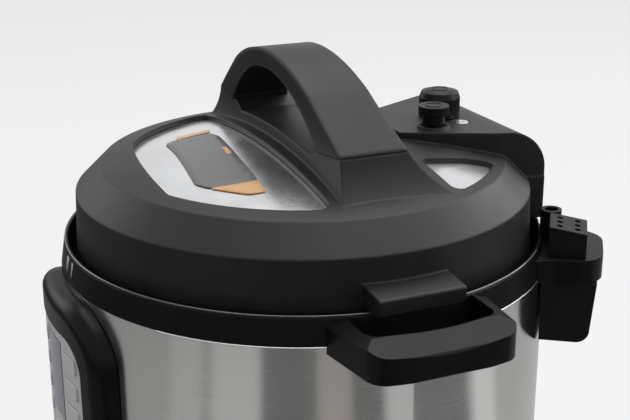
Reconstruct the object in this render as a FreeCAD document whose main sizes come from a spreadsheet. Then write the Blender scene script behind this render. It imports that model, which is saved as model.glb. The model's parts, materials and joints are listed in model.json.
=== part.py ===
import FreeCAD, Part
import math
import os
import Sketcher

# Electric pressure cooker with its lid set down, as a set of separate solids.
# Millimetres, +Z up, control panel towards -Y, right side handle towards +X.
# The origin is on the cooker's axis at table level.

doc = FreeCAD.newDocument("electric_pressure_cooker")

# Every size that can be chosen by itself is written once here.
SIZES = {
    # clearances
    "slide_gap": 0.3,  # between pieces that move past one another
    "fit_gap": 0.15,  # between fixed pieces that fit into one another
    "over_cut": 2.0,  # how far a cutting shape runs past the material
    # outer shell, bottom cover and feet
    "steel_radius": 130.0,
    "steel_thick": 0.8,
    "shell_base_z": 24.0,
    "band_base_z": 211.0,
    "cover_base_z": 6.0,
    "cover_wall": 2.5,
    "cover_chamfer": 5.0,
    "foot_radius": 9.0,
    "foot_ring": 104.0,
    "foot_angle": 45.0,
    "post_radius": 5.0,
    "post_top_z": 16.0,
    "post_x": 42.0,
    "post_y": 34.0,
    "screw_radius": 2.0,
    "screw_head_radius": 4.0,
    "screw_head_high": 1.6,
    "vent_length": 46.0,
    "vent_width": 4.0,
    "vent_pitch": 10.0,
    "vent_y": 66.0,
    # rim collar with its gutter
    "lip_z": 225.0,
    "band_radius": 130.3,
    "lip_outer_radius": 128.2,
    "lip_inner_radius": 126.4,
    "lip_crown": 1.2,
    "gutter_floor_z": 203.5,
    "gutter_floor_thick": 3.0,
    "collar_bore": 110.6,
    "collar_sleeve_gap": 0.5,
    # side handles
    "handle_reach": 166.0,
    "handle_corner_drop": 4.6,
    "handle_corner_y": 36.0,
    "handle_root_x": 120.0,
    "handle_root_y": 42.0,
    "handle_front_radius": 150.0,
    "handle_corner_round": 10.0,
    "handle_top_z": 224.2,
    "handle_edge_z": 219.6,
    "handle_knee_back": 16.5,
    "handle_knee_y": 32.0,
    "handle_slot_round": 7.0,
    "handle_low_z": 207.5,
    "handle_bevel": 1.4,
    "handle_slot_back": 26.0,
    "handle_slot_y": 32.5,
    "handle_bar_wide": 18.6,
    "handle_slot_radius": 150.0,
    # rear ledge, its connector, guide tube and drip cup
    "ledge_angle": 55.0,
    "ledge_reach": 159.6,
    "ledge_half": 24.0,
    "ledge_root_half": 31.0,
    "ledge_root_x": 118.0,
    "ledge_neck_x": 136.0,
    "ledge_top_z": 221.5,
    "ledge_thick": 12.5,
    "ledge_round": 15.0,
    "socket_x": 131.6,
    "socket_y": -8.5,
    "socket_long": 19.0,
    "socket_wide": 23.0,
    "socket_high": 16.0,
    "socket_slope": 3.0,
    "socket_hole_radius": 1.7,
    "socket_hole_pitch": 6.5,
    "socket_hole_deep": 12.0,
    "tube_x": 131.9,
    "tube_y": 9.0,
    "tube_radius": 5.5,
    "tube_bore": 3.6,
    "tube_high": 16.0,
    "tube_pin_radius": 1.6,
    "cup_inner_x": 131.6,
    "cup_hug_x": 126.5,
    "cup_hug_gap": 0.8,
    "cup_set_back": 2.4,
    "cup_half": 21.0,
    "cup_low_half": 18.5,
    "cup_lean": 2.6,
    "cup_base_z": 174.2,
    "cup_back_drop": 9.0,
    "cup_wall": 1.8,
    "cup_corner": 7.0,
    "rail_web_half": 14.0,
    "rail_web_thick": 1.8,
    "rail_drop": 5.5,
    "rail_lip_thick": 1.6,
    "rail_start_x": 132.5,
    "rail_set_back": 9.6,
    # control panel
    "panel_radius": 141.0,
    "facia_sunk": 1.4,
    "panel_back_y": 108.0,
    "panel_half": 51.5,
    "panel_base_z": 42.0,
    "panel_top_z": 209.5,
    "panel_corner": 32.0,
    "panel_edge_round": 9.0,
    "facia_half": 38.5,
    "facia_base_z": 60.0,
    "facia_top_z": 190.8,
    "facia_corner": 17.0,
    "facia_thick": 2.0,
    "panel_open_half": 34.6,
    "panel_open_base_z": 66.0,
    "panel_open_top_z": 185.0,
    "display_half": 13.0,
    "display_base_z": 139.0,
    "display_top_z": 184.0,
    "display_proud": 0.3,
    "key_side_x": 24.8,
    "key_side_z": 177.0,
    "key_pitch": 14.0,
    "key_wide": 15.0,
    "key_high": 8.0,
    "key_low_x": 12.0,
    "key_low_z": 96.0,
    "key_mid_z": 128.0,
    "key_proud": 1.0,
    "key_travel": 0.8,
    "key_flange": 1.2,
    "key_flange_thick": 1.4,
    "key_round": 2.2,
    "board_back": 13.2,
    "board_thick": 1.6,
    "board_half": 33.0,
    "board_base_z": 70.0,
    "board_top_z": 182.0,
    "switch_side": 6.0,
    "board_stand_radius": 3.0,
    "board_stand_x": 28.0,
    "board_stand_mid_z": 108.0,
    "board_stand_bite": 1.0,
    "key_deep": 6.4,
    "shell_window_half": 36.0,
    # power inlet
    "inlet_z": 52.0,
    "inlet_wide": 30.0,
    "inlet_high": 22.0,
    "inlet_deep": 17.0,
    "inlet_flange": 5.0,
    "inlet_flange_thick": 2.4,
    "inlet_wall": 3.5,
    "inlet_floor": 3.0,
    "pin_wide": 2.0,
    "pin_high": 4.0,
    "pin_long": 13.0,
    "pin_pitch": 7.0,
    "pin_rise": 2.0,
    # outer pot with the lock lugs, heater and sensor
    "outer_pot_radius": 110.0,
    "outer_pot_thick": 0.8,
    "outer_pot_floor_z": 46.0,
    "seat_flange_radius": 114.0,
    "seat_flange_thick": 0.8,
    "lock_ring_radius": 111.5,
    "lock_lug_radius": 114.6,
    "lock_base_z": 212.0,
    "lock_top_z": 215.0,
    "lug_angle": 25.0,
    "lug_pitch": 60.0,
    "heater_radius": 94.0,
    "heater_base_z": 50.0,
    "heater_leg_radius": 4.0,
    "heater_leg_ring": 70.0,
    "sensor_hole": 12.0,
    "sensor_radius": 11.4,
    "sensor_base_z": 52.0,
    "sensor_spring_radius": 6.0,
    "sensor_spring_wall": 1.2,
    "pressure_switch_long": 24.0,
    "pressure_switch_wide": 14.0,
    "pressure_switch_high": 9.0,
    "pressure_switch_x": 40.0,
    "power_board_half_x": 50.0,
    "power_board_half_y": 42.0,
    "power_board_thick": 1.6,
    "relay_side": 16.0,
    "relay_high": 13.0,
    "capacitor_radius": 6.0,
    "capacitor_high": 18.0,
    "part_x": 22.0,
    "part_y": 18.0,
    # inner pot
    "pot_radius": 108.6,
    "pot_thick": 0.9,
    "pot_base_z": 57.0,
    "pot_lip_radius": 111.0,
    "pot_lip_z": 215.3,
    "pot_lip_thick": 1.5,
    "pot_base_round": 12.0,
    # sealing ring and its rack
    "seal_inner": 102.6,
    "seal_outer": 112.6,
    "seal_base_z": 217.1,
    "seal_high": 9.0,
    "seal_lip": 2.4,
    "seal_back": 2.4,
    "rack_inner": 106.0,
    "rack_thick": 2.0,
    # steel lid
    "lid_steel_thick": 0.8,
    "lid_skirt_radius": 116.4,
    "lid_skirt_base_z": 207.0,
    "lid_lug_inner": 112.6,
    "lid_lug_thick": 2.6,
    "lid_flat_z": 227.0,
    "lid_wall_radius": 103.0,
    "lid_wall_top_z": 255.0,
    "lid_wall_top_radius": 99.0,
    "lid_dome_z": 265.0,
    "lid_dome_radius": 472.0,
    # lid cover
    "cover_radius": 120.6,
    "cover_foot_radius": 122.2,
    "cover_skirt_z": 207.6,
    "cover_edge_z": 249.0,
    "crease_radius": 107.0,
    "crease_z": 262.5,
    "dome_top_z": 274.0,
    "dome_radius": 503.5,
    "lid_wall": 2.5,
    "dome_flat": 3.0,
    "fin_reach": 137.0,
    "fin_root": 114.0,
    "fin_half": 22.0,
    "fin_base_z": 226.2,
    "fin_step_z": 228.6,
    "fin_step_back": 3.0,
    "fin_outer_z": 235.0,
    "fin_inner_z": 236.8,
    "fin_bevel": 0.8,
    # lid handle feet, platform and grip
    "seam_x": 83.0,
    "seam_z": 284.0,
    "seam_inner_x": 57.5,
    "seam_inner_z": 281.5,
    "seam_half": 16.5,
    "seam_rear_half": 19.5,
    "foot_toe_x": 106.0,
    "foot_toe_z": 256.5,
    "foot_half": 22.5,
    "foot_rear_half": 52.0,
    "foot_spread_z": 258.0,
    "foot_bury_z": 250.0,
    "platform_x": 49.0,
    "platform_z": 277.0,
    "platform_top_z": 279.5,
    "platform_radius": 480.0,
    "grip_top_z": 320.8,
    "grip_turn_x": 50.0,
    "grip_turn_z": 307.2,
    "grip_top_radius": 98.7,
    "grip_half": 20.5,
    "grip_plan_radius": 863.0,
    "grip_rear_radius": 387.0,
    "foot_hollow_radius": 38.0,
    "foot_side_radius": 60.0,
    "grip_hole_z": 310.0,
    "grip_hole_radius": 74.0,
    "grip_hole_low_z": 284.0,
    "grip_bevel": 2.2,
    "boss_x": 72.0,
    "boss_radius": 5.0,
    "boss_base_z": 260.9,
    "lid_screw_radius": 1.6,
    # windows in the lid cover
    "window_back_y": 24.0,
    "window_back_x": 94.0,
    "window_front_y": 88.0,
    "window_front_x": 42.0,
    "window_far_x": 46.0,
    "window_far_y": 81.0,
    "window_side_radius": 98.0,
    "window_front_radius": 300.0,
    "window_round": 6.0,
    "window_plate_drop": 3.0,
    "window_plate_thick": 0.8,
    "window_plate_lap": 4.0,
    "moon_a_x": 52.0,
    "moon_a_y": 41.5,
    "moon_b_x": 92.0,
    "moon_b_y": 41.5,
    "moon_c_x": 56.8,
    "moon_c_y": 83.5,
    "moon_d_x": 52.2,
    "moon_d_y": 68.0,
    "moon_radius": 101.0,
    "moon_round": 4.5,
    # steam shroud at the rear of the lid
    "shroud_front_y": 46.0,
    "shroud_front_half": 22.5,
    "shroud_knee_y": 93.5,
    "shroud_knee_half": 45.5,
    "shroud_tail_y": 122.0,
    "shroud_tail_half": 51.0,
    "shroud_tail_z": 226.4,
    "shroud_top_z": 275.2,
    "shroud_flat_y": 99.5,
    "shroud_back_y": 119.6,
    "shroud_back_z": 254.6,
    "shroud_back_radius": 20.6,
    "shroud_wall": 2.6,
    "cave_end_y": 98.0,
    # valves
    "valve_x": 0.4,
    "valve_y": 82.0,
    "valve_radius": 11.3,
    "valve_stem_radius": 9.6,
    "valve_top_z": 290.6,
    "valve_under_z": 275.7,
    "valve_collar_radius": 6.2,
    "valve_bevel": 1.2,
    "valve_crown_high": 3.2,
    "valve_crown_bevel": 4.2,
    "pipe_radius": 3.4,
    "pipe_bore": 2.0,
    "pipe_top_z": 284.0,
    "pipe_base_z": 247.0,
    "pipe_nut_radius": 6.5,
    "shield_radius": 9.0,
    "shield_high": 8.0,
    "shield_slot": 2.0,
    "float_x": 16.4,
    "float_y": 87.0,
    "float_radius": 4.0,
    "float_head_thick": 1.4,
    "float_pin_radius": 1.8,
    "float_bore": 1.2,
    "float_recess_radius": 4.7,
    "float_recess_deep": 1.8,
    "float_base_z": 250.1,
    "float_cap_radius": 4.6,
    "float_cap_high": 4.0,
    "float_travel": 3.5,
    "button_x": 21.0,
    "button_y": 67.0,
    "button_radius": 8.2,
    "button_stem_radius": 6.0,
    "button_top_z": 287.6,
    "button_head_high": 4.4,
    "button_flange_radius": 8.8,
    "button_flange_high": 1.6,
    "button_rod_radius": 2.4,
    "button_tip_radius": 1.0,
    "button_tip_high": 1.6,
    "button_travel": 3.0,
    # release rocker under the shroud
    "rocker_z": 266.4,
    "rocker_thick": 1.6,
    "rocker_wide": 4.0,
    "rocker_valve_arm": 8.6,
    "rocker_button_arm": 14.0,
    "rocker_pin_radius": 1.1,
    "rocker_pin_half": 5.2,
    "rocker_lug_thick": 1.8,
    "rocker_lug_long": 5.0,
    "release_spring_radius": 1.9,
    "release_spring_base_z": 260.6,
}

# Places that follow another size: what they start from, which way they go, and by how much.
TIES = {
    "handle_corner_x": ("handle_reach", -1, "handle_corner_drop"),
    "handle_knee_x": ("handle_reach", -1, "handle_knee_back"),
    "handle_slot_x": ("handle_reach", -1, "handle_slot_back"),
    "handle_slot_end_x": ("handle_reach", -1, "handle_bar_wide"),
    "cup_outer_x": ("ledge_reach", -1, "cup_set_back"),
    "cup_low_x": ("cup_outer_x", -1, "cup_lean"),
    "rail_end_x": ("ledge_reach", -1, "rail_set_back"),
    "facia_radius": ("panel_radius", -1, "facia_sunk"),
    "key_back_y": ("facia_radius", -1, "key_deep"),
    "board_y": ("key_back_y", -1, "board_back"),
    "board_stand_end_y": ("key_back_y", 1, "board_stand_bite"),
}

# Counts that lay out repeated pieces.
FOOT_COUNT = 4
LUG_COUNT = 6
KEY_ROWS = 5
LOW_KEY_ROWS = 2
VENT_ROWS = 4

sheet = doc.addObject("Spreadsheet::Sheet", "dims")
for row, (alias, number) in enumerate(SIZES.items(), start=1):
    sheet.set("A%d" % row, alias)
    sheet.set("B%d" % row, str(number))
    sheet.setAlias("B%d" % row, alias)
for row, (alias, (base, way, step)) in enumerate(TIES.items(), start=len(SIZES) + 1):
    sheet.set("A%d" % row, alias)
    sheet.set("B%d" % row, "=%s + %d * %s" % (base, way, step))
    sheet.setAlias("B%d" % row, alias)
for alias, (base, way, step) in TIES.items():
    SIZES[alias] = SIZES[base] + way * SIZES[step]
doc.recompute()


class Size:
    """A number together with the sheet expression that gives it."""

    def __init__(self, value, text):
        self.value = float(value)
        self.text = text

    @staticmethod
    def of(other):
        if isinstance(other, Size):
            return other
        return Size(other, repr(float(other)))

    def joined(self, sign, other, value):
        return Size(value, "(%s %s %s)" % (self.text, sign, other.text))

    def __add__(self, other):
        other = Size.of(other)
        return self.joined("+", other, self.value + other.value)

    def __sub__(self, other):
        other = Size.of(other)
        return self.joined("-", other, self.value - other.value)

    def __rsub__(self, other):
        return Size.of(other) - self

    def __mul__(self, other):
        other = Size.of(other)
        return self.joined("*", other, self.value * other.value)

    def __truediv__(self, other):
        other = Size.of(other)
        return self.joined("/", other, self.value / other.value)

    def __neg__(self):
        return Size(-self.value, "(0 - %s)" % self.text)

    __radd__ = __add__
    __rmul__ = __mul__


class Sheet:
    """Gives each alias of the sheet as a Size."""

    def __getattr__(self, alias):
        return Size(SIZES[alias], "dims." + alias)


d = Sheet()
ZERO = Size(0, "0")
NODES = {}


def bind(item, name, size):
    """Tie one property of an object to the sheet."""
    item.setExpression(name, Size.of(size).text)


def place(item, x=ZERO, y=ZERO, z=ZERO, angle=None):
    """Tie the position of an object, and its turn about the cooker's axis, to the sheet."""
    if angle is not None:
        turn = FreeCAD.Rotation(FreeCAD.Vector(0, 0, 1), Size.of(angle).value)
        item.Placement = FreeCAD.Placement(FreeCAD.Vector(0, 0, 0), turn)
        bind(item, "Placement.Rotation.Angle", angle)
    bind(item, "Placement.Base.x", x)
    bind(item, "Placement.Base.y", y)
    bind(item, "Placement.Base.z", z)
    return item


def swung(x, y, angle):
    """The place of a point after a turn about the cooker's axis."""
    x = Size.of(x)
    y = Size.of(y)
    angle = Size.of(angle)
    turn = math.radians(angle.value)
    east = Size(
        x.value * math.cos(turn) - y.value * math.sin(turn),
        "(%s * cos(%s * 1 deg) - %s * sin(%s * 1 deg))" % (x.text, angle.text, y.text, angle.text),
    )
    north = Size(
        x.value * math.sin(turn) + y.value * math.cos(turn),
        "(%s * sin(%s * 1 deg) + %s * cos(%s * 1 deg))" % (x.text, angle.text, y.text, angle.text),
    )
    return east, north


def cylinder(name, radius, height, x=ZERO, y=ZERO, z=ZERO):
    item = doc.addObject("Part::Cylinder", name)
    bind(item, "Radius", radius)
    bind(item, "Height", height)
    return place(item, x, y, z)


def lying(name, radius, length, x, y, z, axis, turn=None):
    """A cylinder lying along a fixed direction."""
    item = doc.addObject("Part::Cylinder", name)
    bind(item, "Radius", radius)
    bind(item, "Height", length)
    rotation = FreeCAD.Rotation(FreeCAD.Vector(0, 0, 1), axis)
    item.Placement = FreeCAD.Placement(FreeCAD.Vector(0, 0, 0), rotation)
    bind(item, "Placement.Base.x", x)
    bind(item, "Placement.Base.y", y)
    bind(item, "Placement.Base.z", z)
    return item


def cone(name, low, high, height, x=ZERO, y=ZERO, z=ZERO):
    item = doc.addObject("Part::Cone", name)
    bind(item, "Radius1", low)
    bind(item, "Radius2", high)
    bind(item, "Height", height)
    return place(item, x, y, z)


def box(name, long, wide, high, x, y, z, angle=None):
    """A box from its lowest corner, turned about the cooker's axis where an angle is given."""
    item = doc.addObject("Part::Box", name)
    bind(item, "Length", long)
    bind(item, "Width", wide)
    bind(item, "Height", high)
    if angle is None:
        return place(item, x, y, z)
    east, north = swung(x, y, angle)
    return place(item, east, north, z, angle)


def fuse(name, pieces):
    item = doc.addObject("Part::MultiFuse", name)
    item.Shapes = pieces
    item.Refine = True
    return item


def group(name, pieces):
    item = doc.addObject("Part::Compound", name)
    item.Links = pieces
    return item


def cut(name, base, tools):
    tool = tools[0]
    if len(tools) > 1:
        tool = fuse(name + "_tools", tools)
    item = doc.addObject("Part::Cut", name)
    item.Base = base
    item.Tool = tool
    item.Refine = True
    return item


def common(name, pieces):
    item = doc.addObject("Part::MultiCommon", name)
    item.Shapes = pieces
    item.Refine = True
    return item


def plane_of(body, role):
    for feature in body.Origin.OriginFeatures:
        if feature.Role == role:
            return feature
    raise ValueError("no plane " + role)


def arc_between(start, end, radius):
    """An arc of a circle between two points; a positive radius bulges to the right of the way."""
    chord = end - start
    left = FreeCAD.Vector(-chord.y, chord.x, 0)
    left.normalize()
    rise = math.sqrt(radius * radius - chord.Length * chord.Length / 4.0)
    side = 1.0 if radius > 0 else -1.0
    centre = (start + end) * 0.5 + left * (rise * side)
    first = start - centre
    last = end - centre
    from_angle = math.atan2(first.y, first.x)
    to_angle = math.atan2(last.y, last.x)
    if radius < 0:
        from_angle, to_angle = to_angle, from_angle
    if to_angle < from_angle:
        to_angle += 2.0 * math.pi
    circle = Part.Circle(centre, FreeCAD.Vector(0, 0, 1), abs(radius))
    return Part.ArcOfCircle(circle, from_angle, to_angle)


def tie_point(sketch, end, x, y):
    """Hold one corner of a sketch at a place given by the sheet."""
    edge, vertex = end
    for kind, size, axis in (("DistanceX", x, -2), ("DistanceY", y, -1)):
        size = Size.of(size)
        if abs(size.value) < 1e-9:
            sketch.addConstraint(Sketcher.Constraint("PointOnObject", edge, vertex, axis))
            continue
        if size.value > 0:
            rule = Sketcher.Constraint(kind, -1, 1, edge, vertex, size.value)
            number = sketch.addConstraint(rule)
            sketch.setExpression("Constraints[%d]" % number, size.text)
        else:
            rule = Sketcher.Constraint(kind, edge, vertex, -1, 1, -size.value)
            number = sketch.addConstraint(rule)
            sketch.setExpression("Constraints[%d]" % number, (-size).text)


def outline(body, name, role, corners, offset=None):
    """A closed outline, counter-clockwise; a third entry makes the next edge an arc."""
    sketch = body.newObject("Sketcher::SketchObject", name)
    sketch.AttachmentSupport = (plane_of(body, role), [""])
    sketch.MapMode = "FlatFace"
    if offset is not None:
        bind(sketch, "AttachmentOffset.Base.z", offset)
    spots = [FreeCAD.Vector(Size.of(c[0]).value, Size.of(c[1]).value, 0) for c in corners]
    starts = []
    ends = []
    radii = []
    for index, corner in enumerate(corners):
        start = spots[index]
        end = spots[(index + 1) % len(spots)]
        if len(corner) > 2:
            edge = sketch.addGeometry(arc_between(start, end, corner[2].value))
            radii.append((edge, corner[2]))
            backward = corner[2].value < 0
        else:
            edge = sketch.addGeometry(Part.LineSegment(start, end))
            backward = False
        starts.append((edge, 2 if backward else 1))
        ends.append((edge, 1 if backward else 2))
    for index, end in enumerate(ends):
        start = starts[(index + 1) % len(starts)]
        sketch.addConstraint(Sketcher.Constraint("Coincident", end[0], end[1], start[0], start[1]))
    for start, corner in zip(starts, corners):
        tie_point(sketch, start, corner[0], corner[1])
    for edge, radius in radii:
        size = radius if radius.value > 0 else -radius
        number = sketch.addConstraint(Sketcher.Constraint("Radius", edge, size.value))
        sketch.setExpression("Constraints[%d]" % number, size.text)
    return sketch


def revolved(name, corners):
    """A solid of revolution about the cooker's axis from a radius and height outline."""
    body = doc.addObject("PartDesign::Body", name)
    sketch = outline(body, name + "_outline", "XZ_Plane", corners)
    turn = body.newObject("PartDesign::Revolution", name + "_turn")
    turn.Profile = sketch
    turn.ReferenceAxis = (sketch, ["V_Axis"])
    turn.Angle = 360
    return body


def padded(name, role, corners, start, length):
    """An outline pushed out along its plane's normal from a given offset."""
    body = doc.addObject("PartDesign::Body", name)
    sketch = outline(body, name + "_outline", role, corners, start)
    pad = body.newObject("PartDesign::Pad", name + "_pad")
    pad.Profile = sketch
    bind(pad, "Length", length)
    return body


def rounded(body, name, radius, chosen):
    """Round the edges of a body that pass a test."""
    doc.recompute()
    base = body.Tip
    edges = []
    for index, edge in enumerate(base.Shape.Edges, start=1):
        if chosen(edge):
            edges.append("Edge%d" % index)
    fillet = body.newObject("PartDesign::Fillet", name)
    fillet.Base = (base, edges)
    bind(fillet, "Radius", radius)
    return body


def bevelled(body, name, size, chosen):
    """Bevel the edges of a body that pass a test."""
    doc.recompute()
    base = body.Tip
    edges = []
    for index, edge in enumerate(base.Shape.Edges, start=1):
        if chosen(edge):
            edges.append("Edge%d" % index)
    bevel = body.newObject("PartDesign::Chamfer", name)
    bevel.Base = (base, edges)
    bind(bevel, "Size", size)
    return body


def straight(edge, axis):
    """True for a straight edge along one of the main axes."""
    if edge.Curve.TypeId != "Part::GeomLine":
        return False
    way = edge.tangentAt(edge.FirstParameter)
    return abs(abs(way.dot(axis)) - 1.0) < 1e-6


X_AXIS = FreeCAD.Vector(1, 0, 0)
Y_AXIS = FreeCAD.Vector(0, 1, 0)
Z_AXIS = FreeCAD.Vector(0, 0, 1)


def node(name, item):
    """Name a finished piece as it is handed over."""
    item.Label = name
    NODES[name] = item
    return item


def middle(edge):
    return edge.valueAt((edge.FirstParameter + edge.LastParameter) / 2.0)


def make_shell():
    """Brushed outer shell with the opening for the power inlet."""
    ring = revolved(
        "shell_ring",
        [
            (d.steel_radius - d.steel_thick, d.shell_base_z),
            (d.steel_radius, d.shell_base_z),
            (d.steel_radius, d.band_base_z),
            (d.steel_radius - d.steel_thick, d.band_base_z),
        ],
    )
    hole = box(
        "shell_inlet_hole",
        d.inlet_wide + d.fit_gap * 2,
        d.over_cut * 8,
        d.inlet_high + d.fit_gap * 2,
        -(d.inlet_wide / 2 + d.fit_gap),
        d.steel_radius - d.over_cut * 4,
        d.inlet_z - d.inlet_high / 2 - d.fit_gap,
    )
    window = box(
        "shell_panel_window",
        d.shell_window_half * 2,
        d.over_cut * 20,
        d.panel_open_top_z - d.panel_open_base_z,
        -d.shell_window_half,
        -(d.steel_radius + d.over_cut),
        d.panel_open_base_z,
    )
    node("steel_shell", cut("shell_cut", ring, [hole, window]))


def make_bottom():
    """Bottom cover with vents and posts, its feet and its screws."""
    pan = revolved(
        "bottom_pan",
        [
            (ZERO, d.cover_base_z),
            (d.steel_radius - d.cover_chamfer, d.cover_base_z),
            (d.steel_radius, d.cover_base_z + d.cover_chamfer),
            (d.steel_radius, d.shell_base_z),
            (d.steel_radius - d.cover_wall, d.shell_base_z),
            (d.steel_radius - d.cover_wall, d.cover_base_z + d.cover_chamfer + d.cover_wall),
            (d.steel_radius - d.cover_chamfer - d.cover_wall, d.cover_base_z + d.cover_wall),
            (ZERO, d.cover_base_z + d.cover_wall),
        ],
    )
    solids = [pan]
    holes = []
    screws = []
    spots = [(side_x, side_y) for side_x in (-1, 1) for side_y in (-1, 1)]
    for index, (side_x, side_y) in enumerate(spots):
        x = d.post_x * side_x
        y = d.post_y * side_y
        post_high = d.post_top_z - d.cover_base_z
        solids.append(cylinder("post_%d" % index, d.post_radius, post_high, x, y, d.cover_base_z))
        bore = d.screw_radius + d.fit_gap
        low = d.cover_base_z - d.over_cut
        deep = d.post_top_z - d.cover_base_z + d.over_cut * 2
        holes.append(cylinder("post_bore_%d" % index, bore, deep, x, y, low))
        shank = cylinder("screw_shank_%d" % index, d.screw_radius, post_high, x, y, d.cover_base_z)
        head_z = d.cover_base_z - d.screw_head_high
        head = cylinder("screw_head_%d" % index, d.screw_head_radius, d.screw_head_high, x, y, head_z)
        screws.append(fuse("screw_%d" % index, [head, shank]))
    for index in range(VENT_ROWS):
        for side in (-1, 1):
            y = d.vent_y * side + d.vent_pitch * (index * side) - d.vent_width / 2
            holes.append(
                box(
                    "vent_%d_%s" % (index, "front" if side < 0 else "rear"),
                    d.vent_length,
                    d.vent_width,
                    d.cover_wall + d.over_cut * 2,
                    -d.vent_length / 2,
                    y,
                    d.cover_base_z - d.over_cut,
                )
            )
    node("bottom_cover", cut("bottom_cut", fuse("bottom_solid", solids), holes))
    node("base_screws", group("screw_set", screws))
    feet = []
    for index in range(FOOT_COUNT):
        x, y = swung(d.foot_ring, ZERO, d.foot_angle + 360.0 / FOOT_COUNT * index)
        top = cylinder("foot_%d" % index, d.foot_radius, d.cover_base_z, x, y, ZERO)
        feet.append(top)
    node("rubber_feet", group("foot_set", feet))


def make_collar():
    """Rim collar with its sloped band, bright lip land and the gutter round the lid."""
    inside = d.steel_radius - d.steel_thick - d.collar_sleeve_gap
    ring = revolved(
        "collar_ring",
        [
            (d.collar_bore, d.gutter_floor_z - d.gutter_floor_thick),
            (inside, d.gutter_floor_z - d.gutter_floor_thick),
            (inside, d.band_base_z),
            (d.band_radius, d.band_base_z),
            (d.lip_outer_radius, d.lip_z - d.lip_crown),
            (d.lip_outer_radius - d.lip_crown / 2, d.lip_z),
            (d.lip_inner_radius, d.lip_z),
            (d.lip_inner_radius, d.gutter_floor_z),
            (d.collar_bore, d.gutter_floor_z),
        ],
    )
    east, north = swung(d.tube_x, d.tube_y, d.ledge_angle)
    room_z = d.ledge_top_z - d.slide_gap
    room = cylinder("tube_room", d.tube_radius + d.slide_gap, d.tube_high, east, north, room_z)
    node("rim_collar", cut("collar_cut", ring, [room]))


def collar_envelope(name):
    """The outside of the collar as a solid, to trim what joins it."""
    rise = d.lip_z - d.lip_crown - d.band_base_z
    upper = cone(name + "_upper", d.band_radius, d.lip_outer_radius, rise, z=d.band_base_z)
    lower = cylinder(name + "_lower", d.band_radius, d.band_base_z, z=ZERO)
    cap = cylinder(name + "_cap", d.lip_outer_radius, d.over_cut * 10, z=d.lip_z - d.lip_crown)
    return fuse(name, [lower, upper, cap])


def make_handles():
    """The two side handles: flat loops with a slot, sloped down outwards."""
    for side, word in ((1, "right"), (-1, "left")):
        plan = [
            (d.handle_root_x * side, d.handle_root_y * -side),
            (d.handle_corner_x * side, d.handle_corner_y * -side, d.handle_front_radius),
            (d.handle_corner_x * side, d.handle_corner_y * side),
            (d.handle_root_x * side, d.handle_root_y * side),
        ]
        slab = padded("handle_plan_" + word, "XY_Plane", plan, d.handle_low_z, d.lip_z - d.handle_low_z)
        slab = rounded(
            slab,
            "handle_round_" + word,
            d.handle_corner_round,
            lambda edge: straight(edge, Z_AXIS) and abs(middle(edge).x) > SIZES["handle_slot_x"],
        )
        slope = [
            (d.handle_root_x * side, d.handle_low_z),
            ((d.handle_reach - d.handle_bevel) * side, d.handle_low_z),
            (d.handle_reach * side, d.handle_low_z + d.handle_bevel),
            (d.handle_reach * side, d.handle_edge_z - d.handle_bevel),
            ((d.handle_reach - d.handle_bevel) * side, d.handle_edge_z),
            (d.handle_knee_x * side, d.handle_top_z),
            (d.handle_root_x * side, d.handle_top_z),
        ]
        if side < 0:
            slope = slope[::-1]
        reach = d.handle_root_y + d.over_cut
        face = padded("handle_slope_" + word, "XZ_Plane", slope, -reach, reach * 2)
        arms = [
            (-reach, d.handle_low_z),
            (reach, d.handle_low_z),
            (reach, d.handle_edge_z),
            (d.handle_knee_y, d.handle_top_z),
            (-d.handle_knee_y, d.handle_top_z),
            (-reach, d.handle_edge_z),
        ]
        fall = padded("handle_fall_" + word, "YZ_Plane", arms, -d.handle_reach, d.handle_reach * 2)
        slot = [
            ((d.handle_root_x - d.over_cut) * side, d.handle_slot_y * -side),
            (d.handle_slot_end_x * side, d.handle_slot_y * -side, d.handle_slot_radius),
            (d.handle_slot_end_x * side, d.handle_slot_y * side),
            ((d.handle_root_x - d.over_cut) * side, d.handle_slot_y * side),
        ]
        low = d.handle_low_z - d.over_cut
        tool = padded("handle_slot_" + word, "XY_Plane", slot, low, d.lip_z - low)
        tool = rounded(
            tool,
            "handle_slot_round_" + word,
            d.handle_slot_round,
            lambda edge: straight(edge, Z_AXIS) and abs(middle(edge).x) > SIZES["handle_slot_x"],
        )
        loop = common("handle_loop_" + word, [common("handle_bar_" + word, [slab, face]), fall])
        trimmed = cut("handle_cut_" + word, loop, [tool, collar_envelope("handle_room_" + word)])
        node("handle_" + word, trimmed)


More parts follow.
